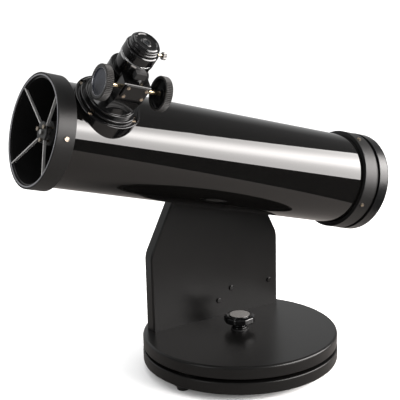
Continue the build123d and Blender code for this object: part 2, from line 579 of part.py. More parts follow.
with BuildPart() as mirror_clips:
    for angle in LOCK_ANGLES:
        foot = around(TUBE, MIRROR_RADIUS + 1.7, angle, CELL_FRONT)
        turn = radians(angle)
        out = TUBE.x_dir * cos(turn) + TUBE.y_dir * sin(turn)
        post = Plane(origin=foot.origin, x_dir=out, z_dir=TUBE.z_dir)
        block(post, 3.0, 12.0, MIRROR_FRONT - CELL_FRONT + 2.2)
        lip = Plane(origin=post.from_local_coords((-2.5, 0, MIRROR_FRONT - CELL_FRONT + 0.2)),
                    x_dir=out, z_dir=TUBE.z_dir)
        block(lip, 8.0, 12.0, 2.0)
mirror_clips.part.label = "mirror_clips"
export_step(mirror_clips.part, "parts/mirror_clips.step")

SPRING_GAP = CELL_BACK - CAP_BACK - CAP_PLATE

with BuildPart() as collimation_springs:
    for angle in COLLIMATION_ANGLES:
        seat = around(TUBE, COLLIMATION_RADIUS, angle, CAP_BACK + CAP_PLATE)
        pipe(seat, 4.2, 3.2, SPRING_GAP)
collimation_springs.part.label = "collimation_springs"
export_step(collimation_springs.part, "parts/collimation_springs.step")

COLLIMATION_KNOB_HEIGHT = 6.0

for letter, angle in zip("abc", COLLIMATION_ANGLES):
    with BuildPart() as collimation_knob:
        seat = around(TUBE, COLLIMATION_RADIUS, angle, CAP_BACK - 0.2)
        disc(seat, 1.95, CELL_FRONT - CAP_BACK - 0.5)
        lobed(seat, 8.0, 8, 2.2, -COLLIMATION_KNOB_HEIGHT)
    collimation_knob.part.label = f"collimation_knob_{letter}"
    export_step(collimation_knob.part, f"parts/collimation_knob_{letter}.step")

with BuildPart() as mirror_lock_screws:
    for angle in LOCK_ANGLES:
        back = around(TUBE, COLLIMATION_RADIUS, angle, CAP_BACK)
        seat = Plane(origin=back.origin, x_dir=TUBE.x_dir, z_dir=-TUBE.z_dir)
        pan_screw(seat, 2.0, CELL_BACK - CAP_BACK, 4.0, 2.4)
mirror_lock_screws.part.label = "mirror_lock_screws"
export_step(mirror_lock_screws.part, "parts/mirror_lock_screws.step")

with BuildPart() as cap_screws:
    for angle in CAP_SCREW_ANGLES:
        back = around(TUBE, 62.0, angle, CAP_BACK)
        seat = Plane(origin=back.origin, x_dir=TUBE.x_dir, z_dir=-TUBE.z_dir)
        pan_screw(seat, 1.5, REAR_RING_BACK - CAP_BACK - 0.5, 3.0, 1.8)
cap_screws.part.label = "cap_screws"
export_step(cap_screws.part, "parts/cap_screws.step")

# ======== spider and secondary mirror ========
VANE_ANGLES = (45.0, 135.0, 225.0, 315.0)
VANE_RIM_FRONT = FRONT_FACE - 0.8
VANE_RIM_RADIUS = LIP_BORE - 0.03
VANE_SHELF = FRONT_FACE - TUBE_LIP + 0.05
VANE_INNER_RADIUS = TUBE_INNER_RADIUS - 0.2

with BuildPart() as spider_hub:
    disc(TUBE.offset(HUB_FRONT - HUB_THICKNESS), HUB_RADIUS, HUB_THICKNESS)
    fillet(spider_hub.edges(), 0.8)
    disc(TUBE.offset(HUB_FRONT - HUB_THICKNESS), 2.5, HUB_THICKNESS, Mode.SUBTRACT)
    for angle in (-45.0, 75.0, 195.0):
        hole = around(TUBE, SECONDARY_SCREW_CIRCLE, angle, HUB_FRONT - HUB_THICKNESS)
        disc(hole, 1.5, HUB_THICKNESS, Mode.SUBTRACT)
spider_hub.part.label = "spider_hub"
export_step(spider_hub.part, "parts/spider_hub.step")

with BuildPart() as spider_vanes:
    for angle in VANE_ANGLES:
        turn = radians(angle)
        out = TUBE.x_dir * cos(turn) + TUBE.y_dir * sin(turn)
        side = Plane(origin=TUBE.origin, x_dir=out, z_dir=out.cross(TUBE.z_dir))
        with BuildSketch(side) as strip:
            with BuildLine():
                Polyline((HUB_RADIUS, HUB_FRONT), (VANE_RIM_RADIUS, VANE_RIM_FRONT),
                         (VANE_RIM_RADIUS, VANE_SHELF), (VANE_INNER_RADIUS, VANE_SHELF),
                         (VANE_INNER_RADIUS, VANE_RIM_FRONT - VANE_DEPTH),
                         (HUB_RADIUS, HUB_FRONT - VANE_DEPTH), close=True)
            make_face()
        extrude(strip.sketch, amount=VANE_WIDTH / 2, both=True)
spider_vanes.part.label = "spider_vanes"
export_step(spider_vanes.part, "parts/spider_vanes.step")

with BuildPart() as secondary_screws:
    for angle in (-45.0, 75.0, 195.0):
        seat = around(TUBE, SECONDARY_SCREW_CIRCLE, angle, HUB_FRONT + 0.6)
        pan_screw(seat, 1.45, HUB_FRONT + 0.6 - HOLDER_BACK, 2.9, 2.2)
secondary_screws.part.label = "secondary_screws"
export_step(secondary_screws.part, "parts/secondary_screws.step")

with BuildPart() as secondary_bolt:
    seat = TUBE.offset(HUB_FRONT)
    pan_screw(seat, 2.0, HUB_FRONT - HOLDER_BACK + 12.0, 3.6, 2.4)
secondary_bolt.part.label = "secondary_centre_bolt"
export_step(secondary_bolt.part, "parts/secondary_centre_bolt.step")

# The flat mirror faces halfway between the primary mirror and the focuser.
FLAT_NORMAL = OUTWARD - TUBE.z_dir
FLAT_FACE = Plane(origin=FOCUS_ORIGIN, x_dir=TUBE.z_dir.cross(OUTWARD), z_dir=FLAT_NORMAL)

with BuildPart() as secondary_mirror:
    disc(TUBE.offset(FOCUS_STATION - 30.0), SECONDARY_RADIUS, 60.0)
    block(FLAT_FACE, 200.0, 200.0, 100.0, Mode.SUBTRACT)
    block(FLAT_FACE.offset(-SECONDARY_THICKNESS), 200.0, 200.0, -100.0, Mode.SUBTRACT)
secondary_mirror.part.label = "secondary_mirror"
export_step(secondary_mirror.part, "parts/secondary_mirror.step")

with BuildPart() as secondary_holder:
    disc(TUBE.offset(FOCUS_STATION - 30.0), HOLDER_RADIUS, HOLDER_BACK - FOCUS_STATION + 30.0)
    block(FLAT_FACE.offset(-SECONDARY_THICKNESS), 200.0, 200.0, 200.0, Mode.SUBTRACT)
    disc(TUBE.offset(HOLDER_BACK), 2.0, -12.0, Mode.SUBTRACT)
secondary_holder.part.label = "secondary_holder"
export_step(secondary_holder.part, "parts/secondary_holder.step")

# ======== focuser ========
NOTCH_SEAT = 71.5

with BuildPart() as focuser_base:
    disc(FOCUS.offset(40.0), BASE_RADIUS, BASE_TOP - 40.0)
    fillet(focuser_base.faces().sort_by(FOCUS_AXIS)[-1].edges(), 2.0)
    disc(FOCUS.offset(BASE_TOP), 41.0, 4.0)
    disc(TUBE.offset(FOCUS_STATION - 80.0), TUBE_RADIUS + 0.05, 160.0, Mode.SUBTRACT)
    disc(FOCUS.offset(40.0), DRAWTUBE_RADIUS + 2.0, 60.0, Mode.SUBTRACT)
    for angle in FOCUSER_SCREW_ANGLES:
        disc(around(FOCUS, FOCUSER_SCREW_CIRCLE, angle, NOTCH_SEAT), 4.4, 20.0, Mode.SUBTRACT)
        disc(around(FOCUS, FOCUSER_SCREW_CIRCLE, angle, 30.0), 1.6, 60.0, Mode.SUBTRACT)
focuser_base.part.label = "focuser_base"
export_step(focuser_base.part, "parts/focuser_base.step")

with BuildPart() as focuser_base_screws:
    for angle in FOCUSER_SCREW_ANGLES:
        pan_screw(around(FOCUS, FOCUSER_SCREW_CIRCLE, angle, NOTCH_SEAT), 1.5, 22.0, 3.0, 1.8)
focuser_base_screws.part.label = "focuser_base_screws"
export_step(focuser_base_screws.part, "parts/focuser_base_screws.step")

HOUSING_PROFILE = ((18.0, 90.0), (30.0, 90.0), (35.5, 112.0), (HOUSING_FACE, 120.0),
                   (HOUSING_FACE, HOUSING_TOP - 1.0), (HOUSING_FACE - 1.0, HOUSING_TOP),
                   (18.0, HOUSING_TOP))
FOCUS_SIDE = Plane(origin=FOCUS_ORIGIN, x_dir=FOCUS.y_dir, z_dir=FOCUS.x_dir)
SHAFT_PLACE = FOCUS.from_local_coords((0, SHAFT_Y, SHAFT_Z))
SHAFT_FRAME = Plane(origin=SHAFT_PLACE, x_dir=FOCUS.y_dir, z_dir=FOCUS.x_dir)
PINION_HALF_LENGTH = 6.0
PLATE_SCREW_PLACES = ((-12.9, -7.2), (12.9, -7.2), (-12.9, 7.2), (12.9, 7.2))
PLATE_MIDDLE_Z = 131.0
PLATE_FRAME = Plane(origin=FOCUS.from_local_coords((0, HOUSING_FACE, PLATE_MIDDLE_Z)),
                    x_dir=FOCUS.x_dir, z_dir=FOCUS.y_dir)
BODY_BORE = DRAWTUBE_RADIUS + 0.3
RACK_WIDTH = 9.0
RACK_TIP_Y = SHAFT_Y - PITCH_RADIUS + 0.8

with BuildPart() as focuser_body:
    disc(FOCUS.offset(BASE_TOP + 4.0), BODY_FLANGE_RADIUS, BODY_FLANGE_TOP - BASE_TOP - 4.0)
    turned([(0, BODY_FLANGE_TOP), (33.0, BODY_FLANGE_TOP), (30.5, 90.0), (BODY_RADIUS, 96.0),
            (BODY_RADIUS, BODY_TOP - 1.0), (BODY_RADIUS - 1.0, BODY_TOP), (0, BODY_TOP)],
           FOCUS_SECTION, FOCUS_AXIS)
    with BuildSketch(FOCUS_SIDE.offset(-HOUSING_HALF_WIDTH)) as wall:
        with BuildLine():
            Polyline(*HOUSING_PROFILE, close=True)
        make_face()
    extrude(wall.sketch, amount=2 * HOUSING_HALF_WIDTH)
    disc(FOCUS.offset(70.0), BODY_BORE, 90.0, Mode.SUBTRACT)
    groove = Plane(origin=FOCUS.from_local_coords((0, RACK_TIP_Y / 2 + 0.2, 70.0)),
                   x_dir=FOCUS.x_dir, z_dir=FOCUS.z_dir)
    block(groove, RACK_WIDTH + 0.6, RACK_TIP_Y + 0.4, 90.0, Mode.SUBTRACT)
    pocket = SHAFT_FRAME.offset(-PINION_HALF_LENGTH - 0.3)
    disc(pocket, PITCH_RADIUS + 1.4, 2 * PINION_HALF_LENGTH + 0.6, Mode.SUBTRACT)
    disc(SHAFT_FRAME.offset(-40.0), SHAFT_RADIUS + RUNNING_CLEARANCE, 80.0, Mode.SUBTRACT)
    for x, y in PLATE_SCREW_PLACES:
        place = PLATE_FRAME.from_local_coords((x, y, 0))
        hole = Plane(origin=place, x_dir=FOCUS.x_dir, z_dir=FOCUS.y_dir)
        disc(hole, 1.3, -6.0, Mode.SUBTRACT)
focuser_body.part.label = "focuser_body"
export_step(focuser_body.part, "parts/focuser_body.step")

with BuildPart() as pinion_plate:
    block(PLATE_FRAME, 34.0, 21.5, PLATE_THICKNESS)
    fillet(pinion_plate.edges().filter_by(Axis(FOCUS_ORIGIN, FOCUS.y_dir)), 1.5)
    for x, y in PLATE_SCREW_PLACES:
        place = PLATE_FRAME.from_local_coords((x, y, 0))
        hole = Plane(origin=place, x_dir=FOCUS.x_dir, z_dir=FOCUS.y_dir)
        disc(hole, 1.3, PLATE_THICKNESS, Mode.SUBTRACT)
pinion_plate.part.label = "pinion_plate"
export_step(pinion_plate.part, "parts/pinion_plate.step")

with BuildPart() as pinion_plate_screws:
    for x, y in PLATE_SCREW_PLACES:
        place = PLATE_FRAME.from_local_coords((x, y, PLATE_THICKNESS))
        seat = Plane(origin=place, x_dir=FOCUS.x_dir, z_dir=FOCUS.y_dir)
        pan_screw(seat, 1.25, PLATE_THICKNESS + 5.5, 2.3, 1.5)
pinion_plate_screws.part.label = "pinion_plate_screws"
export_step(pinion_plate_screws.part, "parts/pinion_plate_screws.step")

KNOB_OUTER_FACE = FOCUS_KNOB_INNER_FACE + FOCUS_KNOB_WIDTH
SHAFT_HALF_LENGTH = KNOB_OUTER_FACE - 2.5

with BuildPart() as pinion_shaft:
    disc(SHAFT_FRAME.offset(-SHAFT_HALF_LENGTH), SHAFT_RADIUS, 2 * SHAFT_HALF_LENGTH)
    with BuildSketch(SHAFT_FRAME.offset(-PINION_HALF_LENGTH)) as gear:
        Circle(PITCH_RADIUS - 0.9)
        with PolarLocations(PITCH_RADIUS - 0.2, PINION_TEETH):
            Trapezoid(1.45, 1.6, 75, rotation=-90)
    extrude(gear.sketch, amount=2 * PINION_HALF_LENGTH)
pinion_shaft.part.label = "pinion_shaft"
export_step(pinion_shaft.part, "parts/pinion_shaft.step")

KNOB_RIBS = 40

for name, facing in (("front_focus_knob", 1), ("rear_focus_knob", -1)):
    out = FOCUS.x_dir * facing
    hub_plane = Plane(origin=SHAFT_PLACE, x_dir=FOCUS.y_dir, z_dir=out)
    section = Plane(origin=SHAFT_PLACE, x_dir=FOCUS.y_dir, z_dir=FOCUS.y_dir.cross(out))
    axis = Axis(SHAFT_PLACE, out)
    with BuildPart() as focus_knob:
        with BuildSketch(hub_plane.offset(FOCUS_KNOB_INNER_FACE)) as rim:
            Circle(FOCUS_KNOB_RADIUS)
            with PolarLocations(FOCUS_KNOB_RADIUS + 0.35, KNOB_RIBS):
                Circle(0.9, mode=Mode.SUBTRACT)
        extrude(rim.sketch, amount=FOCUS_KNOB_WIDTH)
        pipe(hub_plane.offset(FOCUS_KNOB_INNER_FACE), 18.5, 7.0, FOCUS_KNOB_WIDTH - 4.5,
             Mode.SUBTRACT)
        disc(hub_plane.offset(KNOB_OUTER_FACE - 1.6), 17.5, 1.6, Mode.SUBTRACT)
        disc(hub_plane, SHAFT_RADIUS, SHAFT_HALF_LENGTH, Mode.SUBTRACT)
    focus_knob.part.label = name
    export_step(focus_knob.part, f"parts/{name}.step")

with BuildPart() as focus_knob_caps:
    for facing in (1, -1):
        hub_plane = Plane(origin=SHAFT_PLACE, x_dir=FOCUS.y_dir, z_dir=FOCUS.x_dir * facing)
        disc(hub_plane.offset(KNOB_OUTER_FACE - 1.6), 17.4, 0.8)
focus_knob_caps.part.label = "focus_knob_caps"
export_step(focus_knob_caps.part, "parts/focus_knob_caps.step")

with BuildPart() as drawtube:
    pipe(FOCUS.offset(DRAWTUBE_BOTTOM), DRAWTUBE_RADIUS, DRAWTUBE_BORE,
         DRAWTUBE_TOP - DRAWTUBE_BOTTOM)
    flat = Plane(origin=FOCUS.from_local_coords((0, DRAWTUBE_RADIUS + 4.0, DRAWTUBE_BOTTOM)),
                 x_dir=FOCUS.x_dir, z_dir=FOCUS.z_dir)
    block(flat, RACK_WIDTH, 10.0, DRAWTUBE_TOP - DRAWTUBE_BOTTOM, Mode.SUBTRACT)
drawtube.part.label = "drawtube"
export_step(drawtube.part, "parts/drawtube.step")

# The rack's teeth are in step with the pinion: a gap of the rack faces one pinion tooth.
RACK_PITCH = 2 * pi * PITCH_RADIUS / PINION_TEETH
RACK_BOTTOM = 88.0
RACK_TEETH_TOP = 147.0
RACK_BACK_Y = 21.0
TOOTH_HALF_ROOT = 0.64
TOOTH_HALF_TIP = 0.28
RACK_END_Y = 26.4

with BuildPart() as rack:
    rack_side = FOCUS_SIDE.offset(-RACK_WIDTH / 2)
    root_y = RACK_TIP_Y - 1.8
    points = [(RACK_BACK_Y, RACK_BOTTOM), (root_y, RACK_BOTTOM)]
    first = int((RACK_BOTTOM - SHAFT_Z) / RACK_PITCH) + 1
    last = int((RACK_TEETH_TOP - SHAFT_Z) / RACK_PITCH) - 1
    for step in range(first, last):
        middle = SHAFT_Z + (step + 0.5) * RACK_PITCH
        points.append((root_y, middle - TOOTH_HALF_ROOT))
        points.append((RACK_TIP_Y, middle - TOOTH_HALF_TIP))
        points.append((RACK_TIP_Y, middle + TOOTH_HALF_TIP))
        points.append((root_y, middle + TOOTH_HALF_ROOT))
    points.append((root_y, RACK_TEETH_TOP))
    points.append((RACK_BACK_Y, RACK_TEETH_TOP))
    with BuildSketch(rack_side) as teeth:
        with BuildLine():
            Polyline(*points, close=True)
        make_face()
    extrude(teeth.sketch, amount=RACK_WIDTH)
    end_place = FOCUS.from_local_coords((0, RACK_END_Y, RACK_TEETH_TOP))
    end_foot = Plane(origin=end_place, x_dir=FOCUS.x_dir, z_dir=FOCUS.z_dir)
    block(end_foot, 15.0, 8.6, DRAWTUBE_TOP - RACK_TEETH_TOP)
rack.part.label = "rack"
export_step(rack.part, "parts/rack.step")

with BuildPart() as eyepiece_holder:
    turned([(EYEPIECE_BARREL_RADIUS + 0.06, DRAWTUBE_TOP), (22.6, DRAWTUBE_TOP),
            (23.0, DRAWTUBE_TOP + 0.6), (23.0, DRAWTUBE_TOP + 3.0), (22.0, DRAWTUBE_TOP + 3.6),
            (22.0, DRAWTUBE_TOP + 6.0), (22.9, DRAWTUBE_TOP + 6.8), (22.9, HOLDER_TOP - 1.5),
            (21.4, HOLDER_TOP), (EYEPIECE_BARREL_RADIUS + 0.06, HOLDER_TOP)],
           FOCUS_SECTION, FOCUS_AXIS)
    hole = facing_out(FOCUS, 10.0, 180.0, 168.0)
    disc(hole, 2.05, 20.0, Mode.SUBTRACT)
eyepiece_holder.part.label = "eyepiece_holder"
export_step(eyepiece_holder.part, "parts/eyepiece_holder.step")

with BuildPart() as eyepiece_thumbscrew:
    tip = facing_out(FOCUS, EYEPIECE_BARREL_RADIUS + 0.15, 180.0, 168.0)
    disc(tip, 2.0, 14.5)
    head = tip.offset(14.5)
    with BuildSketch(head) as grip:
        Circle(5.0)
        with PolarLocations(5.25, 16):
            Circle(0.6, mode=Mode.SUBTRACT)
    extrude(grip.sketch, amount=6.0)
eyepiece_thumbscrew.part.label = "eyepiece_thumbscrew"
export_step(eyepiece_thumbscrew.part, "parts/eyepiece_thumbscrew.step")

BARREL_BOTTOM = 150.0
BODY_BOTTOM = HOLDER_TOP + 0.2

with BuildPart() as eyepiece_barrel:
    pipe(FOCUS.offset(BARREL_BOTTOM), EYEPIECE_BARREL_RADIUS, 14.2, BODY_BOTTOM - BARREL_BOTTOM)
eyepiece_barrel.part.label = "eyepiece_barrel"
export_step(eyepiece_barrel.part, "parts/eyepiece_barrel.step")

with BuildPart() as eyepiece_body:
    turned([(12.0, BODY_BOTTOM), (20.2, BODY_BOTTOM), (20.8, BODY_BOTTOM + 0.6),
            (20.8, BODY_BOTTOM + 3.4), (19.4, BODY_BOTTOM + 4.2), (19.4, BODY_BOTTOM + 5.2),
            (20.0, BODY_BOTTOM + 5.8), (20.0, BODY_BOTTOM + 7.6), (18.6, BODY_BOTTOM + 8.4),
            (18.2, BODY_BOTTOM + 9.4), (17.0, EYEPIECE_TOP), (15.5, EYEPIECE_TOP),
            (14.0, EYEPIECE_TOP - 1.4), (6.0, EYEPIECE_TOP - 1.4), (6.0, BODY_BOTTOM + 6.0),
            (12.0, BODY_BOTTOM + 6.0)], FOCUS_SECTION, FOCUS_AXIS)
eyepiece_body.part.label = "eyepiece_body"
export_step(eyepiece_body.part, "parts/eyepiece_body.step")

with BuildPart() as eye_lens:
    disc(FOCUS.offset(BODY_BOTTOM + 6.5), 5.95, 2.2)
eye_lens.part.label = "eye_lens"
export_step(eye_lens.part, "parts/eye_lens.step")

with BuildPart() as field_lens:
    disc(FOCUS.offset(BARREL_BOTTOM + 8.0), 14.1, 5.0)
field_lens.part.label = "field_lens"
export_step(field_lens.part, "parts/field_lens.step")
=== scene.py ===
"""Looks of the table-top Dobsonian telescope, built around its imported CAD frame."""

import json
from math import atan2, cos, pi, radians, sin, tan

import bmesh
import bpy
from mathutils import Matrix, Vector


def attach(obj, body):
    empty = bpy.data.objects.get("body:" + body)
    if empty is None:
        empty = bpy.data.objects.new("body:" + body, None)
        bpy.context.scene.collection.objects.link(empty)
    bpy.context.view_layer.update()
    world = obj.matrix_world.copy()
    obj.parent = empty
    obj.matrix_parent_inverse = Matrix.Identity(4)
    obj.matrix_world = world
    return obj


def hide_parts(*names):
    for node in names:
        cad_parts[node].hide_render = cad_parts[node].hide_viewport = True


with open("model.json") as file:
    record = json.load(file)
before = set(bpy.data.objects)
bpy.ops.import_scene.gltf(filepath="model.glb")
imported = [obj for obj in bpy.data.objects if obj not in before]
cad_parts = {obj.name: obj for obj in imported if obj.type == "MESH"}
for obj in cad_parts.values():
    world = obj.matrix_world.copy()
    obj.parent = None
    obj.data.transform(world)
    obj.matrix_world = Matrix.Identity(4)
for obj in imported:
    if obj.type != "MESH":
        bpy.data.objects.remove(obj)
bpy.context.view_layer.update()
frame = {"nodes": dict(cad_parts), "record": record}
NODES = frame["nodes"]
JOINTS = {j["name"]: j for j in frame["record"]["behaviour"]["joints"]}
MM = 0.001

# ---- driving sizes in millimetres, kept inside the CAD's ----
# stand: heights above the floor; the panel's half width; its bolts as x from the axis and z
GROUND_RADIUS, BOARD_LOW, BOARD_GAP = 154.9, 12.0, 31.0
TURNTABLE_RADIUS, TURNTABLE_Z, TURNTABLE_TOP = 154.4, 36.0, 55.3
TURNTABLE_BORE = 5.2
FOOT_ANGLES = (196.3, 316.3, 436.3)
FOOT_CIRCLE, FOOT_TOP = 136.0, 12.0
PANEL_BACK, PANEL_FRONT = 85.6, 63.6
PANEL_HALF, PANEL_EDGE_ROUND = 121.5, 3.0
PANEL_TOP_RADIUS, PANEL_SHOULDER_RADIUS, PANEL_SHOULDER_Z = 44.0, 40.0, 171.0
PANEL_BOLTS = ((2.0, 83.2), (27.1, 100.4), (103.5, 99.6))
KNOB_NOTCHES, KNOB_NOTCH_DEPTH = 9, 0.9
# tube: stations along the axis from the altitude pivot, towards the open end
TUBE_Y = -16.4
TUBE_RADIUS, TUBE_INNER, SKIN_SPLIT = 71.7, 70.5, 70.9
TUBE_HOLE_RADIUS = 24.0
FRONT_FACE, RING_LENGTH = 347.5, 26.0
RING_RADIUS, RING_BORE = 77.8, 71.9
LIP_BORE, TUBE_LIP = 73.4, 2.8
REAR_FRONT, REAR_STEP, REAR_BACK = -180.0, -204.3, -209.0
REAR_LIP, STEP_RADIUS = 3.0, 75.0
CAP_STEP, CAP_BACK, CAP_RADIUS = -210.2, -231.3, 78.3
HUB_FRONT, HUB_RADIUS = 334.0, 14.5
VANE_ANGLES, VANE_WIDTH, VANE_DEPTH = (45.0, 135.0, 225.0, 315.0), 1.8, 4.4
COLLIMATION_CIRCLE = 42.0
COLLIMATION_ANGLES = (90.0, 210.0, 330.0)
# focuser: heights above the tube's axis, outwards along the drawtube
FOCUS_STATION = 270.5
BASE_RADIUS, BASE_STEP, BASE_TOP = 47.0, 75.0, 79.0
BASE_SCREW_ANGLES, BASE_SCREW_CIRCLE = (40.0, 140.0, 220.0, 320.0), 42.5
BODY_BORE, BODY_RADIUS, BODY_TOP = 22.3, 27.5, 138.0
HOUSING_FACE, HOUSING_TOP, HOUSING_HALF, HOUSING_ROOT = 36.5, 142.0, 19.0, 16.0
PLATE_SIZE, PLATE_HEIGHT = (34.0, 21.5, 2.5), 131.0
DRAWTUBE_RADIUS, DRAWTUBE_LOW, DRAWTUBE_TOP = 22.0, 84.0, 155.9
HOLDER_BORE, HOLDER_LOW, COLLAR_TOP, HOLDER_TOP = 15.94, 156.0, 160.3, 174.0
THUMBSCREW_HEIGHT, THUMBSCREW_NECK = 168.0, 14.4
EYEPIECE_LOW, EYEPIECE_TOP = 174.2, 185.0
# focus knobs: faces as distances along the pinion shaft from its middle
GRIP_RADIUS, KNOB_INNER, KNOB_OUTER = 23.0, 37.8, 47.8
KNOB_DISC_RADIUS = 17.4

# ---- frames ----
AXIS_X = JOINTS["azimuth_turn"]["pos_m"][0]
PIVOT = Vector(JOINTS["altitude_tilt"]["pos_m"]) + Vector((0, TUBE_Y * MM, 0))
ALONG = Vector(JOINTS["focus_shaft_turn"]["axis"]).normalized()
OUTWARD = Vector(JOINTS["focus_slide"]["axis"]).normalized()
SIDE = Vector((0, 1, 0))
UP = SIDE.cross(ALONG)
SHAFT = Vector(JOINTS["focus_shaft_turn"]["pos_m"])


def axes(origin, x_dir, z_dir):
    """A matrix from millimetres in a local frame to metres in the shared frame."""
    z = Vector(z_dir).normalized()
    x = Vector(x_dir).normalized()
    y = z.cross(x)
    m = Matrix((x, y, z)).transposed().to_4x4()
    m.translation = Vector(origin)
    return m @ Matrix.Scale(MM, 4)


TUBE = axes(PIVOT, UP, ALONG)
FOCUS = axes(PIVOT + ALONG * FOCUS_STATION * MM, ALONG, OUTWARD)
BASE = axes((AXIS_X, 0, 0), (1, 0, 0), (0, 0, 1))
ALTITUDE = axes((AXIS_X, 0, PIVOT.z), (1, 0, 0), (0, 1, 0))
FACING = OUTWARD.cross(ALONG)


# ======== materials ========
def noise_node(nodes, links, place, size, detail):
    """A noise texture in the piece's own space."""
    noise = nodes.new("ShaderNodeTexNoise")
    noise.inputs["Scale"].default_value = size
    noise.inputs["Detail"].default_value = detail
    links.new(place.outputs["Vector"], noise.inputs["Vector"])
    return noise


def ranged(nodes, links, source, from_low, from_high, to_low, to_high):
    """A value carried over from one range to another, held inside it."""
    spread = nodes.new("ShaderNodeMapRange")
    spread.inputs["From Min"].default_value = from_low
    spread.inputs["From Max"].default_value = from_high
    spread.inputs["To Min"].default_value = to_low
    spread.inputs["To Max"].default_value = to_high
    links.new(source, spread.inputs["Value"])
    return spread.outputs["Result"]


def uneven_colour(nodes, links, noise, shader, low, high):
    """Base colour that wanders between two near shades."""
    ramp = nodes.new("ShaderNodeValToRGB")
    for stop, spot, shade in zip(ramp.color_ramp.elements, (0.3, 0.7), (low, high)):
        stop.position = spot
        stop.color = (*shade, 1)
    links.new(noise.outputs["Fac"], ramp.inputs["Fac"])
    links.new(ramp.outputs["Color"], shader.inputs["Base Color"])


def material(name, color, rough, metallic=0.0, grain=0.0, grain_size=400.0, mottle=0.1,
             rough_spread=0.08, coat=0.0, coat_rough=0.03, tint=None, stretch=None, ior=1.5,
             specular=0.5):
    """A surface with a little uneven colour, uneven gloss and a fine relief."""
    mat = bpy.data.materials.new(name)
    mat.use_nodes = True
    nodes, links = mat.node_tree.nodes, mat.node_tree.links
    shader = nodes["Principled BSDF"]
    shader.inputs["Metallic"].default_value = metallic
    shader.inputs["IOR"].default_value = ior
    shader.inputs["Specular IOR Level"].default_value = specular
    shader.inputs["Coat Weight"].default_value = coat
    shader.inputs["Coat Roughness"].default_value = coat_rough
    own_space = nodes.new("ShaderNodeTexCoord")
    place = nodes.new("ShaderNodeMapping")
    place.inputs["Scale"].default_value = stretch or (1, 1, 1)
    links.new(own_space.outputs["Object"], place.inputs["Vector"])
    broad = noise_node(nodes, links, place, 28.0, 5.0)
    fine = noise_node(nodes, links, place, grain_size, 3.0)
    uneven_colour(nodes, links, broad, shader, [c * (1 - mottle) for c in color],
                  [min(1.0, c * (1 + mottle)) for c in (tint or color)])
    noise = fine if grain else broad
    gloss = ranged(nodes, links, noise.outputs["Fac"], 0.3, 0.7,
                   max(0.01, rough - rough_spread / 2), min(1.0, rough + rough_spread / 2))
    links.new(gloss, shader.inputs["Roughness"])
    if grain:
        bump = nodes.new("ShaderNodeBump")
        bump.inputs["Strength"].default_value = grain
        bump.inputs["Distance"].default_value = 0.0004
        links.new(fine.outputs["Fac"], bump.inputs["Height"])
        links.new(bump.outputs["Normal"], shader.inputs["Normal"])
    return mat


LACQUER = material("lacquer_black", (0.0013, 0.0012, 0.0011), 0.035, grain=0.004,
                   grain_size=60.0, rough_spread=0.02)
LINING = material("lining_matt_black", (0.002, 0.002, 0.002), 0.9, grain=0.3, grain_size=900.0,
                  specular=0.15)
RING = material("ring_satin", (0.0035, 0.0033, 0.0032), 0.46, grain=0.16, grain_size=1500.0,
                rough_spread=0.1, specular=0.32)
EDGE = material("ring_edge", (0.36, 0.36, 0.38), 0.3, metallic=1.0, grain=0.05,
                grain_size=900.0)
CAP = material("cap_gloss", (0.002, 0.002, 0.0022), 0.3, grain=0.05, grain_size=600.0,
               specular=0.32)
GLOSS = material("plastic_gloss", (0.0016, 0.0016, 0.0017), 0.13, grain=0.02, grain_size=700.0)
SATIN = material("plastic_satin", (0.0035, 0.0034, 0.0033), 0.33, grain=0.08, grain_size=900.0,
                 specular=0.4)
MATT = material("plastic_matt", (0.008, 0.008, 0.008), 0.55, grain=0.15, grain_size=900.0)
LAMINATE = material("laminate_black", (0.0024, 0.0023, 0.0022), 0.31, grain=0.06,
                    grain_size=1400.0, mottle=0.12, rough_spread=0.06, specular=0.26)
RUBBER = material("rubber_black", (0.004, 0.004, 0.004), 0.45, grain=0.2, grain_size=800.0)
GRIP = material("grip_rubber", (0.010, 0.0092, 0.0086), 0.55, grain=0.25, grain_size=900.0,
                mottle=0.25, specular=0.35)
DISC = material("knob_disc", (0.007, 0.008, 0.012), 0.2, grain=0.04, grain_size=700.0,
                mottle=0.3, tint=(0.014, 0.016, 0.022), specular=0.3)
KNOB_CAP = material("knob_cap_grey", (0.11, 0.105, 0.10), 0.25, grain=0.04, grain_size=700.0)
DOME = material("bolt_dome", (0.0006, 0.0006, 0.0006), 0.14, grain=0.02, specular=0.3)
RIM = material("knob_rim", (0.34, 0.34, 0.36), 0.25, metallic=1.0, grain=0.05)
CHROME = material("collar_chrome", (0.62, 0.62, 0.62), 0.08, metallic=1.0, grain=0.02,
                  grain_size=500.0)
WARM = material("screw_steel", (0.50, 0.43, 0.35), 0.28, metallic=1.0, grain=0.1,
                grain_size=1200.0, mottle=0.15)
DARK_STEEL = material("knurled_steel", (0.16, 0.155, 0.15), 0.34, metallic=0.9, grain=0.2,
                      grain_size=900.0)
STEEL = material("zinc_steel", (0.55, 0.55, 0.54), 0.3, metallic=1.0, grain=0.1,
                 grain_size=900.0, mottle=0.12)
BRASS = material("turned_brass", (0.66, 0.54, 0.36), 0.24, metallic=1.0, grain=0.08,
                 grain_size=900.0, stretch=(1, 8, 8))
VANE = material("vane_metal", (0.62, 0.61, 0.60), 0.36, metallic=0.85, grain=0.08,
                grain_size=800.0)
HUB = material("hub_dark", (0.02, 0.02, 0.02), 0.4, metallic=0.3, grain=0.3,
               grain_size=600.0, mottle=0.3)
NYLON = material("nylon_white", (0.75, 0.74, 0.70), 0.4, grain=0.1)
BLACK_STEEL = material("black_oxide", (0.006, 0.006, 0.0065), 0.2, metallic=0.2, grain=0.05)
CAST = material("cast_aluminium", (0.45, 0.45, 0.46), 0.42, metallic=1.0, grain=0.3,
                grain_size=500.0)
MIRROR = material("mirror_face", (0.86, 0.88, 0.90), 0.02, metallic=1.0, rough_spread=0.01)
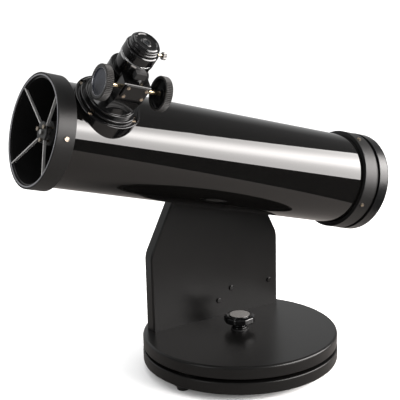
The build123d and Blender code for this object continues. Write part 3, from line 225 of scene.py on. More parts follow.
CORK = material("cork", (0.38, 0.24, 0.13), 0.85, grain=0.6, grain_size=500.0, mottle=0.35)
GLASS = material("lens_glass", (0.002, 0.003, 0.004), 0.03, coat=1.0, coat_rough=0.01, ior=1.7,
                 rough_spread=0.01)
LENS_RING = material("lens_ring", (0.05, 0.05, 0.05), 0.3, metallic=0.6, grain=0.04)


# ======== shapes ========
def finish_mesh(name, mesh, mat, body, nodes=(), crease=38.0):
    """Smooth shading with real creases, a material, a body, and the CAD nodes it stands for."""
    build = bmesh.new()
    build.from_mesh(mesh)
    bmesh.ops.remove_doubles(build, verts=build.verts, dist=1e-7)
    bmesh.ops.recalc_face_normals(build, faces=build.faces)
    for edge in build.edges:
        edge.smooth = edge.calc_face_angle(0.0) < radians(crease)
    for face in build.faces:
        face.smooth = True
    build.to_mesh(mesh)
    build.free()
    piece = bpy.data.objects.new(name, mesh)
    bpy.context.collection.objects.link(piece)
    mesh.materials.append(mat)
    shade = piece.modifiers.new("even_shading", "WEIGHTED_NORMAL")
    shade.keep_sharp = True
    shade.weight = 60
    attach(piece, body)
    if nodes:
        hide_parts(*nodes)
    return piece


def rounded(points, steps=5):
    """Corner points (r, h) or (r, h, round) turned into a line with soft corners."""
    line = []
    count = len(points)
    for i, point in enumerate(points):
        here = Vector(point[:2])
        if len(point) < 3:
            line.append(tuple(here))
            continue
        back = Vector(points[i - 1][:2]) - here
        ahead = Vector(points[(i + 1) % count][:2]) - here
        half = back.angle(ahead) / 2
        reach = min(point[2] / max(tan(half), 1e-4), back.length * 0.48, ahead.length * 0.48)
        start, end = here + back.normalized() * reach, here + ahead.normalized() * reach
        for k in range(steps + 1):
            t = k / steps
            line.append(tuple(start * (1 - t) ** 2 + here * 2 * t * (1 - t) + end * t * t))
    return line


def spun(profile, place, wave=None, segments=128, closed=True):
    """A mesh turned from a profile; wave(angle, radius) scales the radius for lobes or ribs."""
    verts, faces = [], []
    count = len(profile)
    for s in range(segments):
        angle = 2 * pi * s / segments
        for r, h in profile:
            k = r * (wave(angle, r) if wave else 1.0)
            verts.append(place @ Vector((k * cos(angle), k * sin(angle), h)))
    for s in range(segments):
        nxt = (s + 1) % segments
        for i in range(count if closed else count - 1):
            j = (i + 1) % count
            faces.append([s * count + i, s * count + j, nxt * count + j, nxt * count + i])
    mesh = bpy.data.meshes.new("spun")
    mesh.from_pydata(verts, [], faces)
    mesh.validate()
    return mesh


def lathe(name, points, place, mat, body, nodes=(), segments=128, wave=None,
          steps=5, crease=38.0):
    """A turned piece. A profile that starts and ends on the axis is left open there."""
    line = rounded(points, steps)
    on_axis = line[0][0] < 1e-6 and line[-1][0] < 1e-6
    mesh = spun(line, place, wave, segments, closed=not on_axis)
    return finish_mesh(name, mesh, mat, body, nodes, crease)


def solid_outline(points, height, place, bevel, steps=3):
    """A flat outline with thickness, its long edges rounded."""
    build = bmesh.new()
    low = [build.verts.new((x, y, 0)) for x, y in points]
    face = build.faces.new(low)
    grown = bmesh.ops.extrude_face_region(build, geom=[face])
    top = [v for v in grown["geom"] if isinstance(v, bmesh.types.BMVert)]
    bmesh.ops.translate(build, verts=top, vec=(0, 0, height))
    bmesh.ops.recalc_face_normals(build, faces=build.faces)
    if bevel:
        flat = [e for e in build.edges if abs(e.verts[0].co.z - e.verts[1].co.z) < 1e-6]
        bmesh.ops.bevel(build, geom=flat, offset=bevel, segments=steps, profile=0.5,
                        affect="EDGES", clamp_overlap=True)
    bmesh.ops.transform(build, matrix=place, verts=build.verts)
    mesh = bpy.data.meshes.new("outline")
    build.to_mesh(mesh)
    build.free()
    return mesh


def box_mesh(size, place, bevel=0.8, steps=3):
    """A bar, centred on its foot, with all its edges rounded."""
    build = bmesh.new()
    bmesh.ops.create_cube(build, size=1.0)
    bmesh.ops.scale(build, verts=build.verts, vec=size)
    bmesh.ops.translate(build, verts=build.verts, vec=(0, 0, size[2] / 2))
    bmesh.ops.bevel(build, geom=list(build.edges), offset=bevel, segments=steps, profile=0.5,
                    affect="EDGES", clamp_overlap=True)
    bmesh.ops.transform(build, matrix=place, verts=build.verts)
    mesh = bpy.data.meshes.new("bar")
    build.to_mesh(mesh)
    build.free()
    return mesh


def cut(piece, *cutters, operation="DIFFERENCE"):
    """Cut closed tools out of a piece, or weld them on, and drop the tools."""
    bpy.context.view_layer.objects.active = piece
    for mesh in cutters:
        tool = bpy.data.objects.new("tool", mesh)
        bpy.context.collection.objects.link(tool)
        step = piece.modifiers.new("cut", "BOOLEAN")
        step.operation = operation
        step.solver = "EXACT"
        step.object = tool
        piece.modifiers.move(len(piece.modifiers) - 1, 0)
        with bpy.context.temp_override(object=piece, active_object=piece):
            bpy.ops.object.modifier_apply(modifier=step.name)
        bpy.data.objects.remove(tool)
    build = bmesh.new()
    build.from_mesh(piece.data)
    for edge in build.edges:
        if len(edge.link_faces) == 2:
            edge.smooth = edge.calc_face_angle(0.0) < radians(38.0)
    for face in build.faces:
        face.smooth = True
    build.to_mesh(piece.data)
    build.free()


def rod_mesh(radius, low, high, place, segments=64):
    """A plain round cutter, closed at both ends."""
    build = bmesh.new()
    ends = []
    for h in (low, high):
        turns = [2 * pi * s / segments for s in range(segments)]
        ends.append([build.verts.new(place @ Vector((radius * cos(a), radius * sin(a), h)))
                     for a in turns])
    for s in range(segments):
        nxt = (s + 1) % segments
        build.faces.new((ends[0][s], ends[0][nxt], ends[1][nxt], ends[1][s]))
    build.faces.new(ends[0][::-1])
    build.faces.new(ends[1])
    bmesh.ops.recalc_face_normals(build, faces=build.faces)
    mesh = bpy.data.meshes.new("rod")
    build.to_mesh(mesh)
    build.free()
    return mesh


def join(name, meshes, mat, body, nodes=(), crease=38.0):
    """Several like meshes as one piece."""
    build = bmesh.new()
    for mesh in meshes:
        build.from_mesh(mesh)
        bpy.data.meshes.remove(mesh)
    whole = bpy.data.meshes.new(name)
    build.to_mesh(whole)
    build.free()
    return finish_mesh(name, whole, mat, body, nodes, crease)


def lobe_wave(lobes, depth, low, high):
    """Soft finger notches between two radii."""
    def wave(angle, r):
        if r < low:
            return 1.0
        share = min(1.0, (r - low) / (high - low))
        notch = (0.5 + 0.5 * cos(lobes * angle)) ** 1.5
        return 1.0 - share * depth * notch / r
    return wave


def rib_wave(ribs, depth, low):
    """Fine ribs on a rubber rim."""
    def wave(angle, r):
        if r < low:
            return 1.0
        tooth = abs((angle * ribs / (2 * pi)) % 1.0 - 0.5) * 2
        return 1.0 - depth * min(1.0, tooth * 1.6) / r
    return wave


def offset(place, x=0.0, y=0.0, z=0.0):
    """The same frame, moved along its own axes by millimetres."""
    return place @ Matrix.Translation((x, y, z))


def on_circle(place, radius, degrees, height=0.0):
    """The same frame, moved to a spot on a circle round its Z axis."""
    turn = radians(degrees)
    return offset(place, radius * cos(turn), radius * sin(turn), height)


def outwards(place, radius, degrees, height):
    """A frame on a circle whose Z axis points away from the circle's axis."""
    turn = radians(degrees)
    out = Vector((cos(turn), sin(turn), 0))
    z = (place.to_3x3() @ out).normalized()
    x = (place.to_3x3() @ Vector((0, 0, 1))).normalized()
    return axes(place @ Vector((radius * cos(turn), radius * sin(turn), height)), x, z)


def dress(mat, *names):
    """Carried-over CAD nodes get their finish."""
    for name in names:
        slots = NODES[name].data.materials
        if not slots:
            slots.append(mat)
        for i in range(len(slots)):
            slots[i] = mat


# ======== stand ========
def boards():
    lathe("ground_board_skin",
          [(0, BOARD_LOW), (GROUND_RADIUS, BOARD_LOW, 2.5), (GROUND_RADIUS, BOARD_GAP, 2.5),
           (0, BOARD_GAP)],
          BASE, LAMINATE, "ground", ["ground_board"], 256)
    lathe("turntable_skin",
          [(TURNTABLE_BORE, TURNTABLE_Z), (TURNTABLE_RADIUS, TURNTABLE_Z, 2.0),
           (TURNTABLE_RADIUS, TURNTABLE_TOP, 4.5), (TURNTABLE_BORE, TURNTABLE_TOP)],
          BASE, LAMINATE, "turntable", ["turntable_board"], 256, steps=8)


def feet():
    """Rubber feet, each with a recess underneath for its screw."""
    line = rounded([(0, 2.5), (4.4, 2.5), (4.4, 0.0, 0.4), (9.0, 0.0, 2.5), (11.0, 8.0, 2.0),
                    (14.0, 8.6, 0.6), (14.0, FOOT_TOP, 0.6), (0, FOOT_TOP)])
    meshes = [spun(line, on_circle(BASE, FOOT_CIRCLE, angle), None, 48, closed=False)
              for angle in FOOT_ANGLES]
    join("feet_rubber", meshes, RUBBER, "ground", ["feet"])


def clamp_knob(name, place, foot, top, body):
    """A clamping knob: foot flange, neck, scalloped rim and a flat grey cap in the middle."""
    rim = foot + (top - foot) * 0.40
    points = [(5.2, foot + 1.0), (5.2, foot), (12.8, foot, 0.8), (12.8, foot + 2.6, 0.8),
              (9.8, foot + 4.0, 1.5), (10.2, rim - 1.5, 1.5), (19.0, rim - 0.5, 3.0),
              (24.8, rim + 2.0, 2.5), (24.6, top - 3.4, 3.0), (20.6, top - 0.9, 2.0),
              (17.6, top - 1.8, 0.8), (17.2, top - 2.4, 0.2), (16.6, top - 2.4, 0.2),
              (16.2, top - 0.5, 0.5), (15.2, top - 0.3, 0.4), (0.0, top - 0.3),
              (0.0, foot + 1.0)]
    lathe(name, points, place, GLOSS, body, [body], 216,
          wave=lobe_wave(KNOB_NOTCHES, KNOB_NOTCH_DEPTH, 19.0, 24.0), crease=50.0)
    lathe(name + "_cap",
          [(0, top - 0.6), (16.2, top - 0.6), (16.2, top - 0.1, 0.3), (15.6, top - 0.02, 0.2),
           (0, top - 0.02)], place, KNOB_CAP, body, (), 96)


def knobs():
    clamp_knob("azimuth_knob_skin", BASE, 57.2, 80.0, "azimuth_knob")
    clamp_knob("altitude_knob_skin", ALTITUDE, 87.5, 117.3, "altitude_knob")


def panel_outline():
    """The panel's outline: upright edges, round shoulders, slopes and a round top."""
    pivot_z = PIVOT.z / MM
    shoulder_x = PANEL_HALF - PANEL_SHOULDER_RADIUS
    gap = Vector((-shoulder_x, pivot_z - PANEL_SHOULDER_Z))
    slope = atan2(gap.y, gap.x) - pi / 2
    tangent = slope - (PANEL_TOP_RADIUS - PANEL_SHOULDER_RADIUS) / gap.length
    right = [(PANEL_HALF, TURNTABLE_TOP)]
    for k in range(9):
        a = tangent * k / 8
        right.append((shoulder_x + PANEL_SHOULDER_RADIUS * cos(a),
                      PANEL_SHOULDER_Z + PANEL_SHOULDER_RADIUS * sin(a)))
    for k in range(25):
        a = tangent + (pi / 2 - tangent) * k / 24
        right.append((PANEL_TOP_RADIUS * cos(a), pivot_z + PANEL_TOP_RADIUS * sin(a)))
    left = [(-x, z) for x, z in reversed(right[:-1])]
    return right + left


def side_panel():
    """The upright panel, with all its edges rounded but those on the turntable."""
    place = axes((AXIS_X, PANEL_BACK * MM, 0), (1, 0, 0), (0, -1, 0))
    mesh = solid_outline(panel_outline(), PANEL_BACK - PANEL_FRONT, place, 0.0)
    build = bmesh.new()
    build.from_mesh(mesh)
    rim = []
    for edge in build.edges:
        a, b = (v.co for v in edge.verts)
        flat = abs(a.y - b.y) < 1e-6
        if flat and max(a.z, b.z) > (TURNTABLE_TOP + 1) * MM:
            rim.append(edge)
    bmesh.ops.bevel(build, geom=rim, offset=PANEL_EDGE_ROUND * MM, segments=6, profile=0.5,
                    affect="EDGES", clamp_overlap=True)
    build.to_mesh(mesh)
    build.free()
    finish_mesh("side_panel_skin", mesh, LAMINATE, "turntable", ["side_panel"],
                30.0)


def panel_bolts():
    """Domed bolt heads on the panel's face, with their shanks."""
    line = rounded([(0, -29.0), (2.5, -29.0), (2.5, 0), (4.2, 0, 0.2), (4.2, 2.4, 2.2),
                    (0, 2.4)], 8)
    meshes = []
    for x, z in PANEL_BOLTS:
        place = axes((AXIS_X + x * MM, PANEL_FRONT * MM, z * MM), (1, 0, 0), (0, -1, 0))
        meshes.append(spun(line, place, None, 48, closed=False))
    join("panel_bolts_domed", meshes, DOME, "turntable", ["panel_bolts"])


# ======== optical tube ========
def tube():
    """The lacquered tube and its matt lining, with the focuser's hole through both."""
    back, front = REAR_BACK + REAR_LIP, FRONT_FACE - TUBE_LIP
    shell = lathe("tube_shell",
                  [(SKIN_SPLIT, back), (TUBE_RADIUS, back), (TUBE_RADIUS, front),
                   (SKIN_SPLIT, front)],
                  TUBE, LACQUER, "optical_tube", ["tube"], 256)
    cut(shell, rod_mesh(TUBE_HOLE_RADIUS, 45.0, 95.0, FOCUS))
    inside = SKIN_SPLIT - 0.02
    lining = lathe("tube_lining",
                   [(TUBE_INNER, back), (inside, back), (inside, front), (TUBE_INNER, front)],
                   TUBE, LINING, "optical_tube", (), 128)
    cut(lining, rod_mesh(TUBE_HOLE_RADIUS, 45.0, 95.0, FOCUS))


def front_ring():
    """The front ring, and the bright bead round its opening."""
    back = FRONT_FACE - RING_LENGTH
    lathe("front_ring_skin",
          [(RING_BORE, back), (RING_RADIUS, back, 0.8), (RING_RADIUS, FRONT_FACE, 1.4),
           (75.8, FRONT_FACE, 0.4), (75.6, FRONT_FACE - 0.5), (LIP_BORE + 0.1, FRONT_FACE - 0.5),
           (LIP_BORE + 0.1, FRONT_FACE - TUBE_LIP), (RING_BORE, FRONT_FACE - TUBE_LIP)],
          TUBE, RING, "optical_tube", ["front_ring"], 256)
    lathe("front_ring_bead",
          [(LIP_BORE + 0.05, FRONT_FACE - 1.6), (LIP_BORE + 0.05, FRONT_FACE - 0.1, 0.6),
           (LIP_BORE + 0.9, FRONT_FACE, 0.3), (75.4, FRONT_FACE - 0.1, 0.4),
           (75.4, FRONT_FACE - 0.8), (74.5, FRONT_FACE - 1.6)],
          TUBE, EDGE, "optical_tube", (), 256)


def rear_ring():
    lathe("rear_ring_skin",
          [(RING_BORE, REAR_FRONT), (RING_RADIUS, REAR_FRONT, 0.8),
           (RING_RADIUS, REAR_STEP, 0.8), (STEP_RADIUS, REAR_STEP, 0.3),
           (STEP_RADIUS, REAR_BACK, 0.3), (66.0, REAR_BACK), (66.0, REAR_BACK + REAR_LIP),
           (RING_BORE, REAR_BACK + REAR_LIP)],
          TUBE, RING, "optical_tube", ["rear_ring"], 256)


def rear_cap():
    """The shallow cap over the mirror end, its face slightly sunken."""
    lathe("rear_cap_skin",
          [(71.0, REAR_BACK - 0.2), (STEP_RADIUS - 1.0, REAR_BACK - 0.2),
           (STEP_RADIUS - 1.0, CAP_STEP), (CAP_RADIUS, CAP_STEP, 0.6),
           (CAP_RADIUS, CAP_BACK, 6.0), (62.0, CAP_BACK, 1.5), (60.5, CAP_BACK + 1.0, 1.0),
           (0, CAP_BACK + 1.0), (0, CAP_BACK + 3.0), (68.5, CAP_BACK + 3.0),
           (71.0, CAP_BACK + 6.0)],
          TUBE, CAP, "optical_tube", ["rear_cap"], 256, steps=10)


def vanes():
    """Four thin strips from the hub to the lip of the front ring."""
    rim, low = FRONT_FACE - 0.8, LIP_BORE - 0.03
    shelf = FRONT_FACE - TUBE_LIP + 0.05
    hub_edge = HUB_RADIUS - 0.5
    flat = [(hub_edge, HUB_FRONT), (low, rim), (low, shelf), (TUBE_INNER - 0.2, shelf),
            (TUBE_INNER - 0.2, rim - VANE_DEPTH), (hub_edge, HUB_FRONT - VANE_DEPTH)]
    meshes = []
    for angle in VANE_ANGLES:
        out = UP * cos(radians(angle)) + SIDE * sin(radians(angle))
        place = axes(PIVOT, out, out.cross(ALONG))
        meshes.append(solid_outline(flat, VANE_WIDTH, offset(place, z=-VANE_WIDTH / 2), 0.3))
    join("vane_strips", meshes, VANE, "optical_tube", ["spider_vanes"])


def hub():
    lathe("hub_plate",
          [(0, HUB_FRONT - 3.0), (HUB_RADIUS, HUB_FRONT - 3.0, 0.6),
           (HUB_RADIUS, HUB_FRONT, 0.9), (9.0, HUB_FRONT), (8.0, HUB_FRONT - 0.4),
           (0, HUB_FRONT - 0.4)],
          TUBE, HUB, "optical_tube", ["spider_hub"], 64)


# ======== focuser ========
def saddle_cut():
    """The tube's outside, as a cutter that gives the focuser base its curved foot."""
    return rod_mesh(TUBE_RADIUS + 0.05, FOCUS_STATION - 90.0, FOCUS_STATION + 90.0, TUBE, 256)


def focuser_base():
    """The stepped round base, its foot cut to the tube and notched for four screws."""
    piece = lathe("focuser_base_skin",
                  [(24.0, 46.0), (BASE_RADIUS, 46.0), (BASE_RADIUS, BASE_STEP, 2.2),
                   (43.6, BASE_STEP, 0.8), (43.0, BASE_STEP - 1.4, 0.8),
                   (41.4, BASE_STEP - 1.4, 0.6), (41.0, BASE_TOP, 1.6), (24.0, BASE_TOP)],
                  FOCUS, GLOSS, "optical_tube", ["focuser_base"], 192,
                  steps=6)
    notches = [rod_mesh(4.4, BASE_STEP - 3.5, 90.0, on_circle(FOCUS, BASE_SCREW_CIRCLE, angle), 40)
               for angle in BASE_SCREW_ANGLES]
    cut(piece, saddle_cut(), *notches)


def focuser_body():
    """The round body, with a flat-faced housing on the side of the pinion shaft."""
    foot = BASE_TOP + 0.05
    piece = lathe("focuser_body_skin",
                  [(BODY_BORE, foot), (36.0, foot, 0.6), (36.0, 84.0, 1.5), (33.0, 84.5, 1.0),
                   (30.0, 91.0, 3.0), (BODY_RADIUS, 97.0, 4.0), (BODY_RADIUS, BODY_TOP, 1.6),
                   (BODY_BORE, BODY_TOP)],
                  FOCUS, GLOSS, "optical_tube", ["focuser_body"], 128)
    side = axes(FOCUS @ Vector((-HOUSING_HALF, 0, 0)), FACING, ALONG)
    outline = [(HOUSING_ROOT, 90.0), (29.0, 90.0), (35.5, 112.0), (HOUSING_FACE, 119.0),
               (HOUSING_FACE, HOUSING_TOP - 1.0), (HOUSING_FACE - 1.0, HOUSING_TOP),
               (HOUSING_ROOT, HOUSING_TOP)]
    housing = solid_outline(outline, 2 * HOUSING_HALF, side, 0.0)
    bore = rod_mesh(BODY_BORE, 60.0, 170.0, FOCUS)
    rack_groove = box_mesh((9.6, 25.2, 100.0), offset(FOCUS, y=12.4, z=70.0), 0.05, 1)
    cut(piece, housing, operation="UNION")
    cut(piece, bore, rack_groove)


def pinion_plate():
    place = axes(FOCUS @ Vector((0, HOUSING_FACE, PLATE_HEIGHT)), ALONG, FACING)
    finish_mesh("pinion_plate_skin", box_mesh(PLATE_SIZE, place, 0.5), SATIN, "optical_tube",
                ["pinion_plate"])


def focus_knob(name, facing, node):
    """A cup-shaped knob with a ribbed rubber rim, its face sunk for a disc."""
    place = axes(SHAFT, FACING, ALONG * facing)
    inner, outer = KNOB_INNER, KNOB_OUTER
    line = rounded([(19.8, inner + 0.6, 0.3), (21.8, inner, 0.6), (GRIP_RADIUS, inner + 0.7, 0.4),
                    (GRIP_RADIUS, outer - 0.7, 0.4), (22.0, outer - 0.1, 0.3),
                    (22.0, outer - 1.2), (19.8, outer - 1.6)], 3)
    rim = spun(line, place, rib_wave(60, 1.0, 22.3), 480)
    finish_mesh(name + "_grip", rim, GRIP, "focus_shaft", [node], 25.0)
    lathe(name + "_core",
          [(3.0, inner + 1.0), (6.6, inner + 1.0, 0.4), (7.0, outer - 5.0, 1.0),
           (18.4, outer - 5.0, 1.0), (18.4, inner + 0.4, 0.4), (19.7, inner + 0.4, 0.3),
           (19.7, outer - 1.4), (21.9, outer - 0.5, 0.3), (21.3, outer, 0.4),
           (18.6, outer - 0.2, 0.2), (18.35, outer - 3.3), (3.0, outer - 3.3)],
          place, GLOSS, "focus_shaft", (), 128)


def knob_discs():
    """The sunken discs of both focus knobs, each in a thin bright ring."""
    face, radius = KNOB_OUTER, KNOB_DISC_RADIUS
    disc_line = rounded([(0, face - 3.2), (radius, face - 3.2), (radius, face - 1.5, 0.3),
                         (16.6, face - 1.4, 0.3), (15.9, face - 2.0, 0.4), (0, face - 2.0)])
    ring_line = rounded([(17.45, face - 3.1), (18.3, face - 3.1), (18.3, face - 0.3, 0.2),
                         (17.9, face - 0.15, 0.2), (17.45, face - 0.5, 0.2)])
    discs, bright_rings = [], []
    for facing in (1, -1):
        place = axes(SHAFT, FACING, ALONG * facing)
        discs.append(spun(disc_line, place, None, 96, closed=False))
        bright_rings.append(spun(ring_line, place, None, 128))
    join("knob_discs", discs, DISC, "focus_shaft", ["focus_knob_caps"])
    join("knob_disc_rings", bright_rings, RIM, "focus_shaft", ())


def drawtube():
    """The drawtube, the bright collar on its end and the holder above it."""
    lathe("drawtube_skin",
          [(19.0, DRAWTUBE_LOW), (DRAWTUBE_RADIUS, DRAWTUBE_LOW, 0.4),
           (DRAWTUBE_RADIUS, DRAWTUBE_TOP, 0.3), (19.0, DRAWTUBE_TOP)],
          FOCUS, GLOSS, "drawtube", ["drawtube"], 128)
    foot = COLLAR_TOP + 0.1
    lathe("eyepiece_holder_skin",
          [(HOLDER_BORE, foot), (22.2, foot, 0.3), (22.9, foot + 1.0, 0.5),
           (22.9, HOLDER_TOP - 1.2, 1.2), (21.2, HOLDER_TOP, 0.6), (HOLDER_BORE, HOLDER_TOP)],
          FOCUS, GLOSS, "drawtube", ["eyepiece_holder"], 128)
    lathe("holder_collar",
          [(HOLDER_BORE, HOLDER_LOW), (22.6, HOLDER_LOW, 0.4), (23.0, HOLDER_LOW + 0.6, 0.4),
           (23.0, HOLDER_LOW + 3.0, 0.5), (22.0, COLLAR_TOP, 0.5), (HOLDER_BORE, COLLAR_TOP)],
          FOCUS, CHROME, "drawtube", (), 128)


def eyepiece():
    """The stepped eyepiece body, its eye lens and the ring that holds the lens."""
    low, top = EYEPIECE_LOW, EYEPIECE_TOP
    lathe("eyepiece_body_skin",
          [(6.2, low + 0.2), (20.0, low + 0.2, 0.4), (20.7, low + 0.9, 0.5),
           (20.7, low + 3.2, 0.6), (19.3, low + 4.0, 0.4), (19.3, low + 4.9, 0.4),
           (20.0, low + 5.5, 0.5), (20.0, low + 7.2, 0.6), (18.7, low + 7.8, 0.3),
           (18.7, low + 8.5, 0.3), (18.5, low + 8.9, 0.4), (17.8, top - 1.0, 0.7),
           (16.2, top, 0.6), (15.0, top - 0.3, 0.5), (13.8, top - 1.6, 0.6),
           (8.0, top - 1.8, 0.6), (6.2, top - 0.9, 0.4), (6.2, low + 9.0)],
          FOCUS, GLOSS, "eyepiece", ["eyepiece_body"], 128)
    lathe("eye_lens_ring",
          [(4.2, top - 2.6), (6.1, top - 2.6), (6.1, top - 1.0, 0.3), (4.9, top - 0.9, 0.3),
           (4.2, top - 1.9, 0.2)],
          FOCUS, LENS_RING, "eyepiece", (), 64)
    lathe("eye_lens_glass",
          [(0, top - 5.0), (4.6, top - 5.0), (4.6, top - 2.7, 0.2), (3.2, top - 2.1, 1.0),
           (1.5, top - 1.75, 1.0), (0, top - 1.7)],
          FOCUS, GLASS, "eyepiece", ["eye_lens"], 48)


def thumbscrew():
    """A brass stem with a knurled steel head, square to the eyepiece holder."""
    place = outwards(FOCUS, 16.1, 180.0, THUMBSCREW_HEIGHT)
    neck = THUMBSCREW_NECK
    lathe("thumbscrew_stem",
          [(0, 0), (1.4, 0, 0.2), (2.0, 0.8, 0.2), (2.0, neck), (0, neck)],
          place, BRASS, "eyepiece_thumbscrew", (), 48)
    lathe("thumbscrew_head",
          [(0, neck), (3.4, neck, 0.4), (5.0, neck + 0.6, 0.6), (5.0, neck + 5.4, 0.7),
           (3.6, neck + 5.9, 0.4), (3.2, neck + 5.5, 0.2), (0, neck + 5.5)],
          place, DARK_STEEL, "eyepiece_thumbscrew", ["eyepiece_thumbscrew"], 160,
          wave=rib_wave(20, 0.5, 4.2), crease=30.0)


# ======== collimation ========
def springs():
    """Three springs between the rear cap and the mirror cell."""
    meshes = [coil(on_circle(TUBE, COLLIMATION_CIRCLE, angle, CAP_BACK + 3.0), 3.7, 0.55, 6, 17.0)
              for angle in COLLIMATION_ANGLES]
    join("collimation_coils", meshes, STEEL, "optical_tube", ["collimation_springs"])


def coil(place, radius, wire, turns, height):
    """A compression spring."""
    verts, faces = [], []
    steps, around = turns * 24, 8
    for k in range(steps + 1):
        a = 2 * pi * turns * k / steps
        z = wire + (height - 2 * wire) * k / steps
        for j in range(around):
            b = 2 * pi * j / around
            r = radius + wire * cos(b)
            verts.append(place @ Vector((r * cos(a), r * sin(a), z + wire * sin(b))))
    for k in range(steps):
        for j in range(around):
            n = (j + 1) % around
            faces.append([k * around + j, k * around + n, (k + 1) * around + n,
                          (k + 1) * around + j])
    faces.append(list(range(around)))
    faces.append(list(range(steps * around, (steps + 1) * around)))
    mesh = bpy.data.meshes.new("coil")
    mesh.from_pydata(verts, [], faces)
    return mesh


def collimation_knobs():
    """Three notched knobs on the rear cap's face."""
    for letter, angle in zip("abc", COLLIMATION_ANGLES):
        name = "collimation_knob_" + letter
        foot = on_circle(TUBE, COLLIMATION_CIRCLE, angle, CAP_BACK - 0.2).translation
        lathe("collimation_knob_skin_" + letter,
              [(0, -22.0), (1.9, -22.0), (1.9, 0), (6.4, 0, 0.6), (7.9, 1.2, 0.8),
               (7.9, 5.0, 0.8), (6.6, 6.0, 0.6), (3.4, 6.0, 0.3), (3.0, 5.4), (0, 5.4)],
              axes(foot, UP, -ALONG), MATT, name, [name], 96,
              wave=lobe_wave(10, 0.8, 5.0, 7.0))


# ======== carried-over nodes ========
def dress_cad():
    """Finishes of the CAD nodes that stay as they are."""
    dress(STEEL, "foot_screws", "azimuth_bolt", "panel_nuts", "panel_screws", "saddle_screws",
          "altitude_shaft", "mirror_lock_screws", "secondary_centre_bolt", "eyepiece_barrel")
    dress(WARM, "front_ring_screws", "rear_ring_screws", "secondary_screws",
          "focuser_base_screws", "pinion_plate_screws", "cap_screws")
    dress(NYLON, "azimuth_pads", "altitude_friction_disc")
    dress(MATT, "azimuth_bush", "altitude_bush", "knob_washers", "mirror_clips", "rack",
          "secondary_holder")
    dress(BLACK_STEEL, "panel_bracket", "bracket_screws")
    dress(SATIN, "altitude_saddle")
    dress(CAST, "mirror_cell")
    dress(CORK, "mirror_pads")
    dress(MIRROR, "primary_mirror", "secondary_mirror")
    dress(BRASS, "pinion_shaft")
    dress(GLASS, "field_lens")


# ======== studio ========
def look_at(origin, target):
    return (Vector(target) - Vector(origin)).to_track_quat("-Z", "Y")


def area(name, origin, target, size, power, color=(1, 1, 1)):
    """A rectangular soft light."""
    data = bpy.data.lights.new(name, "AREA")
    data.shape = "RECTANGLE"
    data.size, data.size_y = size
    data.energy = power
    data.color = color
    lamp = bpy.data.objects.new(name, data)
    lamp.location = origin
    lamp.rotation_mode = "QUATERNION"
    lamp.rotation_quaternion = look_at(origin, target)
    bpy.context.collection.objects.link(lamp)
    return lamp


def stage_plane(name, corners, color):
    """A flat piece of the studio, which isn't part of the telescope."""
    mesh = bpy.data.meshes.new(name)
    mesh.from_pydata([(x, y, z) for x, y, z in corners], [], [tuple(range(len(corners)))])
    plane = bpy.data.objects.new(name, mesh)
    bpy.context.collection.objects.link(plane)
    mesh.materials.append(material(name + "_paper", color, 0.9, mottle=0.005,
                                   rough_spread=0.02, specular=0.1))
    return plane


# the level directions away from the camera and to its right
FORWARD = Vector((0.5278, 0.8494, 0.0))
ACROSS = Vector((0.8494, -0.5278, 0.0))
FLOOR_REACH, FLOOR_Z = 8.0, -0.0004
STRIP_HALF, STRIP_NEAR, STRIP_FAR = 0.45, -0.9, 2.5


def floor():
    """A white floor, and a darker strip the camera never sees: a painted-dark reflection of the
    floor in the glossy parts.
    """
    reach = FLOOR_REACH
    corners = [(-reach, -reach), (reach, -reach), (reach, reach), (-reach, reach)]
    wide = stage_plane("floor", [(x, y, FLOOR_Z) for x, y in corners], (0.9, 0.9, 0.9))
    wide.visible_glossy = False
    strip = []
    for side, depth in ((-STRIP_HALF, STRIP_NEAR), (STRIP_HALF, STRIP_NEAR),
                        (STRIP_HALF, STRIP_FAR), (-STRIP_HALF, STRIP_FAR)):
        spot = ACROSS * side + FORWARD * depth
        strip.append((spot.x, spot.y, 0.5 * FLOOR_Z))
    # painted reflection: this darker sheet is hidden from the camera, bounce light and shadows, so
    # the glossy parts mirror a darker floor than the one in view
    paper = stage_plane("reflection_only_strip", strip, (0.22, 0.205, 0.195))
    paper.visible_camera = False
    paper.visible_diffuse = False
    paper.visible_shadow = False


def surroundings():
    """White to look at and to light by, darker where it is mirrored."""
    world = bpy.data.worlds.new("studio")
    bpy.context.scene.world = world
    world.use_nodes = True
    nodes, links = world.node_tree.nodes, world.node_tree.links
    sky = nodes["Background"]
    sky.inputs["Color"].default_value = (1, 1, 1, 1)
    path = nodes.new("ShaderNodeLightPath")
    place = nodes.new("ShaderNodeTexCoord")
    split = nodes.new("ShaderNodeSeparateXYZ")
    links.new(place.outputs["Generated"], split.inputs["Vector"])
    mirrored = ranged(nodes, links, split.outputs["Z"], -0.15, 0.4, 0.08, 0.26)
    behind = ranged(nodes, links, split.outputs["Y"], 0.35, 0.75, 0.0, 0.45)
    both = nodes.new("ShaderNodeMath")
    links.new(mirrored, both.inputs[0])
    links.new(behind, both.inputs[1])
    strength = nodes.new("ShaderNodeMix")
    strength.inputs["A"].default_value = 1.25
    links.new(path.outputs["Is Glossy Ray"], strength.inputs["Factor"])
    links.new(both.outputs["Value"], strength.inputs["B"])
    links.new(strength.outputs["Result"], sky.inputs["Strength"])


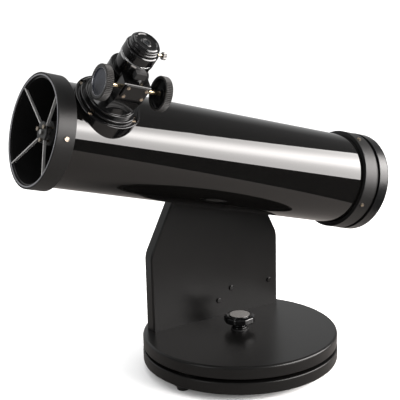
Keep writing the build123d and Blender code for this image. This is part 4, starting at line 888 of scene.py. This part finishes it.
def bright_core(lamp, middle, width, gain):
    """A softbox that is brighter along one line of its height."""
    lamp.data.use_nodes = True
    nodes, links = lamp.data.node_tree.nodes, lamp.data.node_tree.links
    glow = nodes["Emission"]
    place = nodes.new("ShaderNodeTexCoord")
    split = nodes.new("ShaderNodeSeparateXYZ")
    links.new(place.outputs["UV"], split.inputs["Vector"])
    ramp = nodes.new("ShaderNodeValToRGB")
    ramp.color_ramp.interpolation = "B_SPLINE"
    first, last = ramp.color_ramp.elements
    first.position, last.position = 0.0, 1.0
    first.color = last.color = (0, 0, 0, 1)
    for spot, value in ((middle - width, 0.0), (middle, 1.0), (middle + width, 0.0)):
        stop = ramp.color_ramp.elements.new(spot)
        stop.color = (value, value, value, 1)
    links.new(split.outputs["Y"], ramp.inputs["Fac"])
    level = ranged(nodes, links, ramp.outputs["Color"], 0.0, 1.0, 1.0, gain)
    links.new(level, glow.inputs["Strength"])


KEY_TURN, KEY_RISE, KEY_DISTANCE, KEY_AIM = radians(-45), radians(15.5), 1.7, 0.33


def studio():
    """The floor and world, a large softbox at the side, and two weak ones."""
    floor()
    surroundings()
    level = KEY_DISTANCE * cos(KEY_RISE)
    spot = (level * cos(KEY_TURN), level * sin(KEY_TURN), KEY_AIM + KEY_DISTANCE * sin(KEY_RISE))
    key = area("side_softbox", spot, (0, 0, KEY_AIM), (2.2, 1.16), 86, (1.0, 0.965, 0.945))
    bright_core(key, 0.60, 0.22, 2.6)
    area("top_softbox", (-0.3, 0.3, 2.4), (0, 0, 0.3), (1.6, 1.2), 12)
    area("left_softbox", (-2.2, -0.6, 1.0), (0, 0, 0.3), (0.8, 1.2), 10)


CAMERA_RIGHT = Vector((0.8462, -0.53237, -0.02296))
CAMERA_UP = Vector((0.14519, 0.18889, 0.97121))
CAMERA_PLACE = Vector((AXIS_X - 0.8026, -1.1806, 0.6159))


def camera():
    """A long lens in front of the open end's left, a little above the tube."""
    data = bpy.data.cameras.new("camera")
    data.sensor_width = 36.0
    data.lens = 85.5
    eye = bpy.data.objects.new("camera", data)
    back = CAMERA_RIGHT.cross(CAMERA_UP)
    pose = Matrix((CAMERA_RIGHT, CAMERA_UP, back)).transposed().to_4x4()
    pose.translation = CAMERA_PLACE
    eye.matrix_world = pose
    bpy.context.collection.objects.link(eye)
    bpy.context.scene.camera = eye


boards()
feet()
knobs()
side_panel()
panel_bolts()
tube()
front_ring()
rear_ring()
rear_cap()
vanes()
hub()
focuser_base()
focuser_body()
pinion_plate()
focus_knob("front_knob", 1, "front_focus_knob")
focus_knob("rear_knob", -1, "rear_focus_knob")
knob_discs()
drawtube()
eyepiece()
thumbscrew()
springs()
collimation_knobs()
dress_cad()
camera()
studio()
bpy.context.scene.view_settings.view_transform = "Standard"
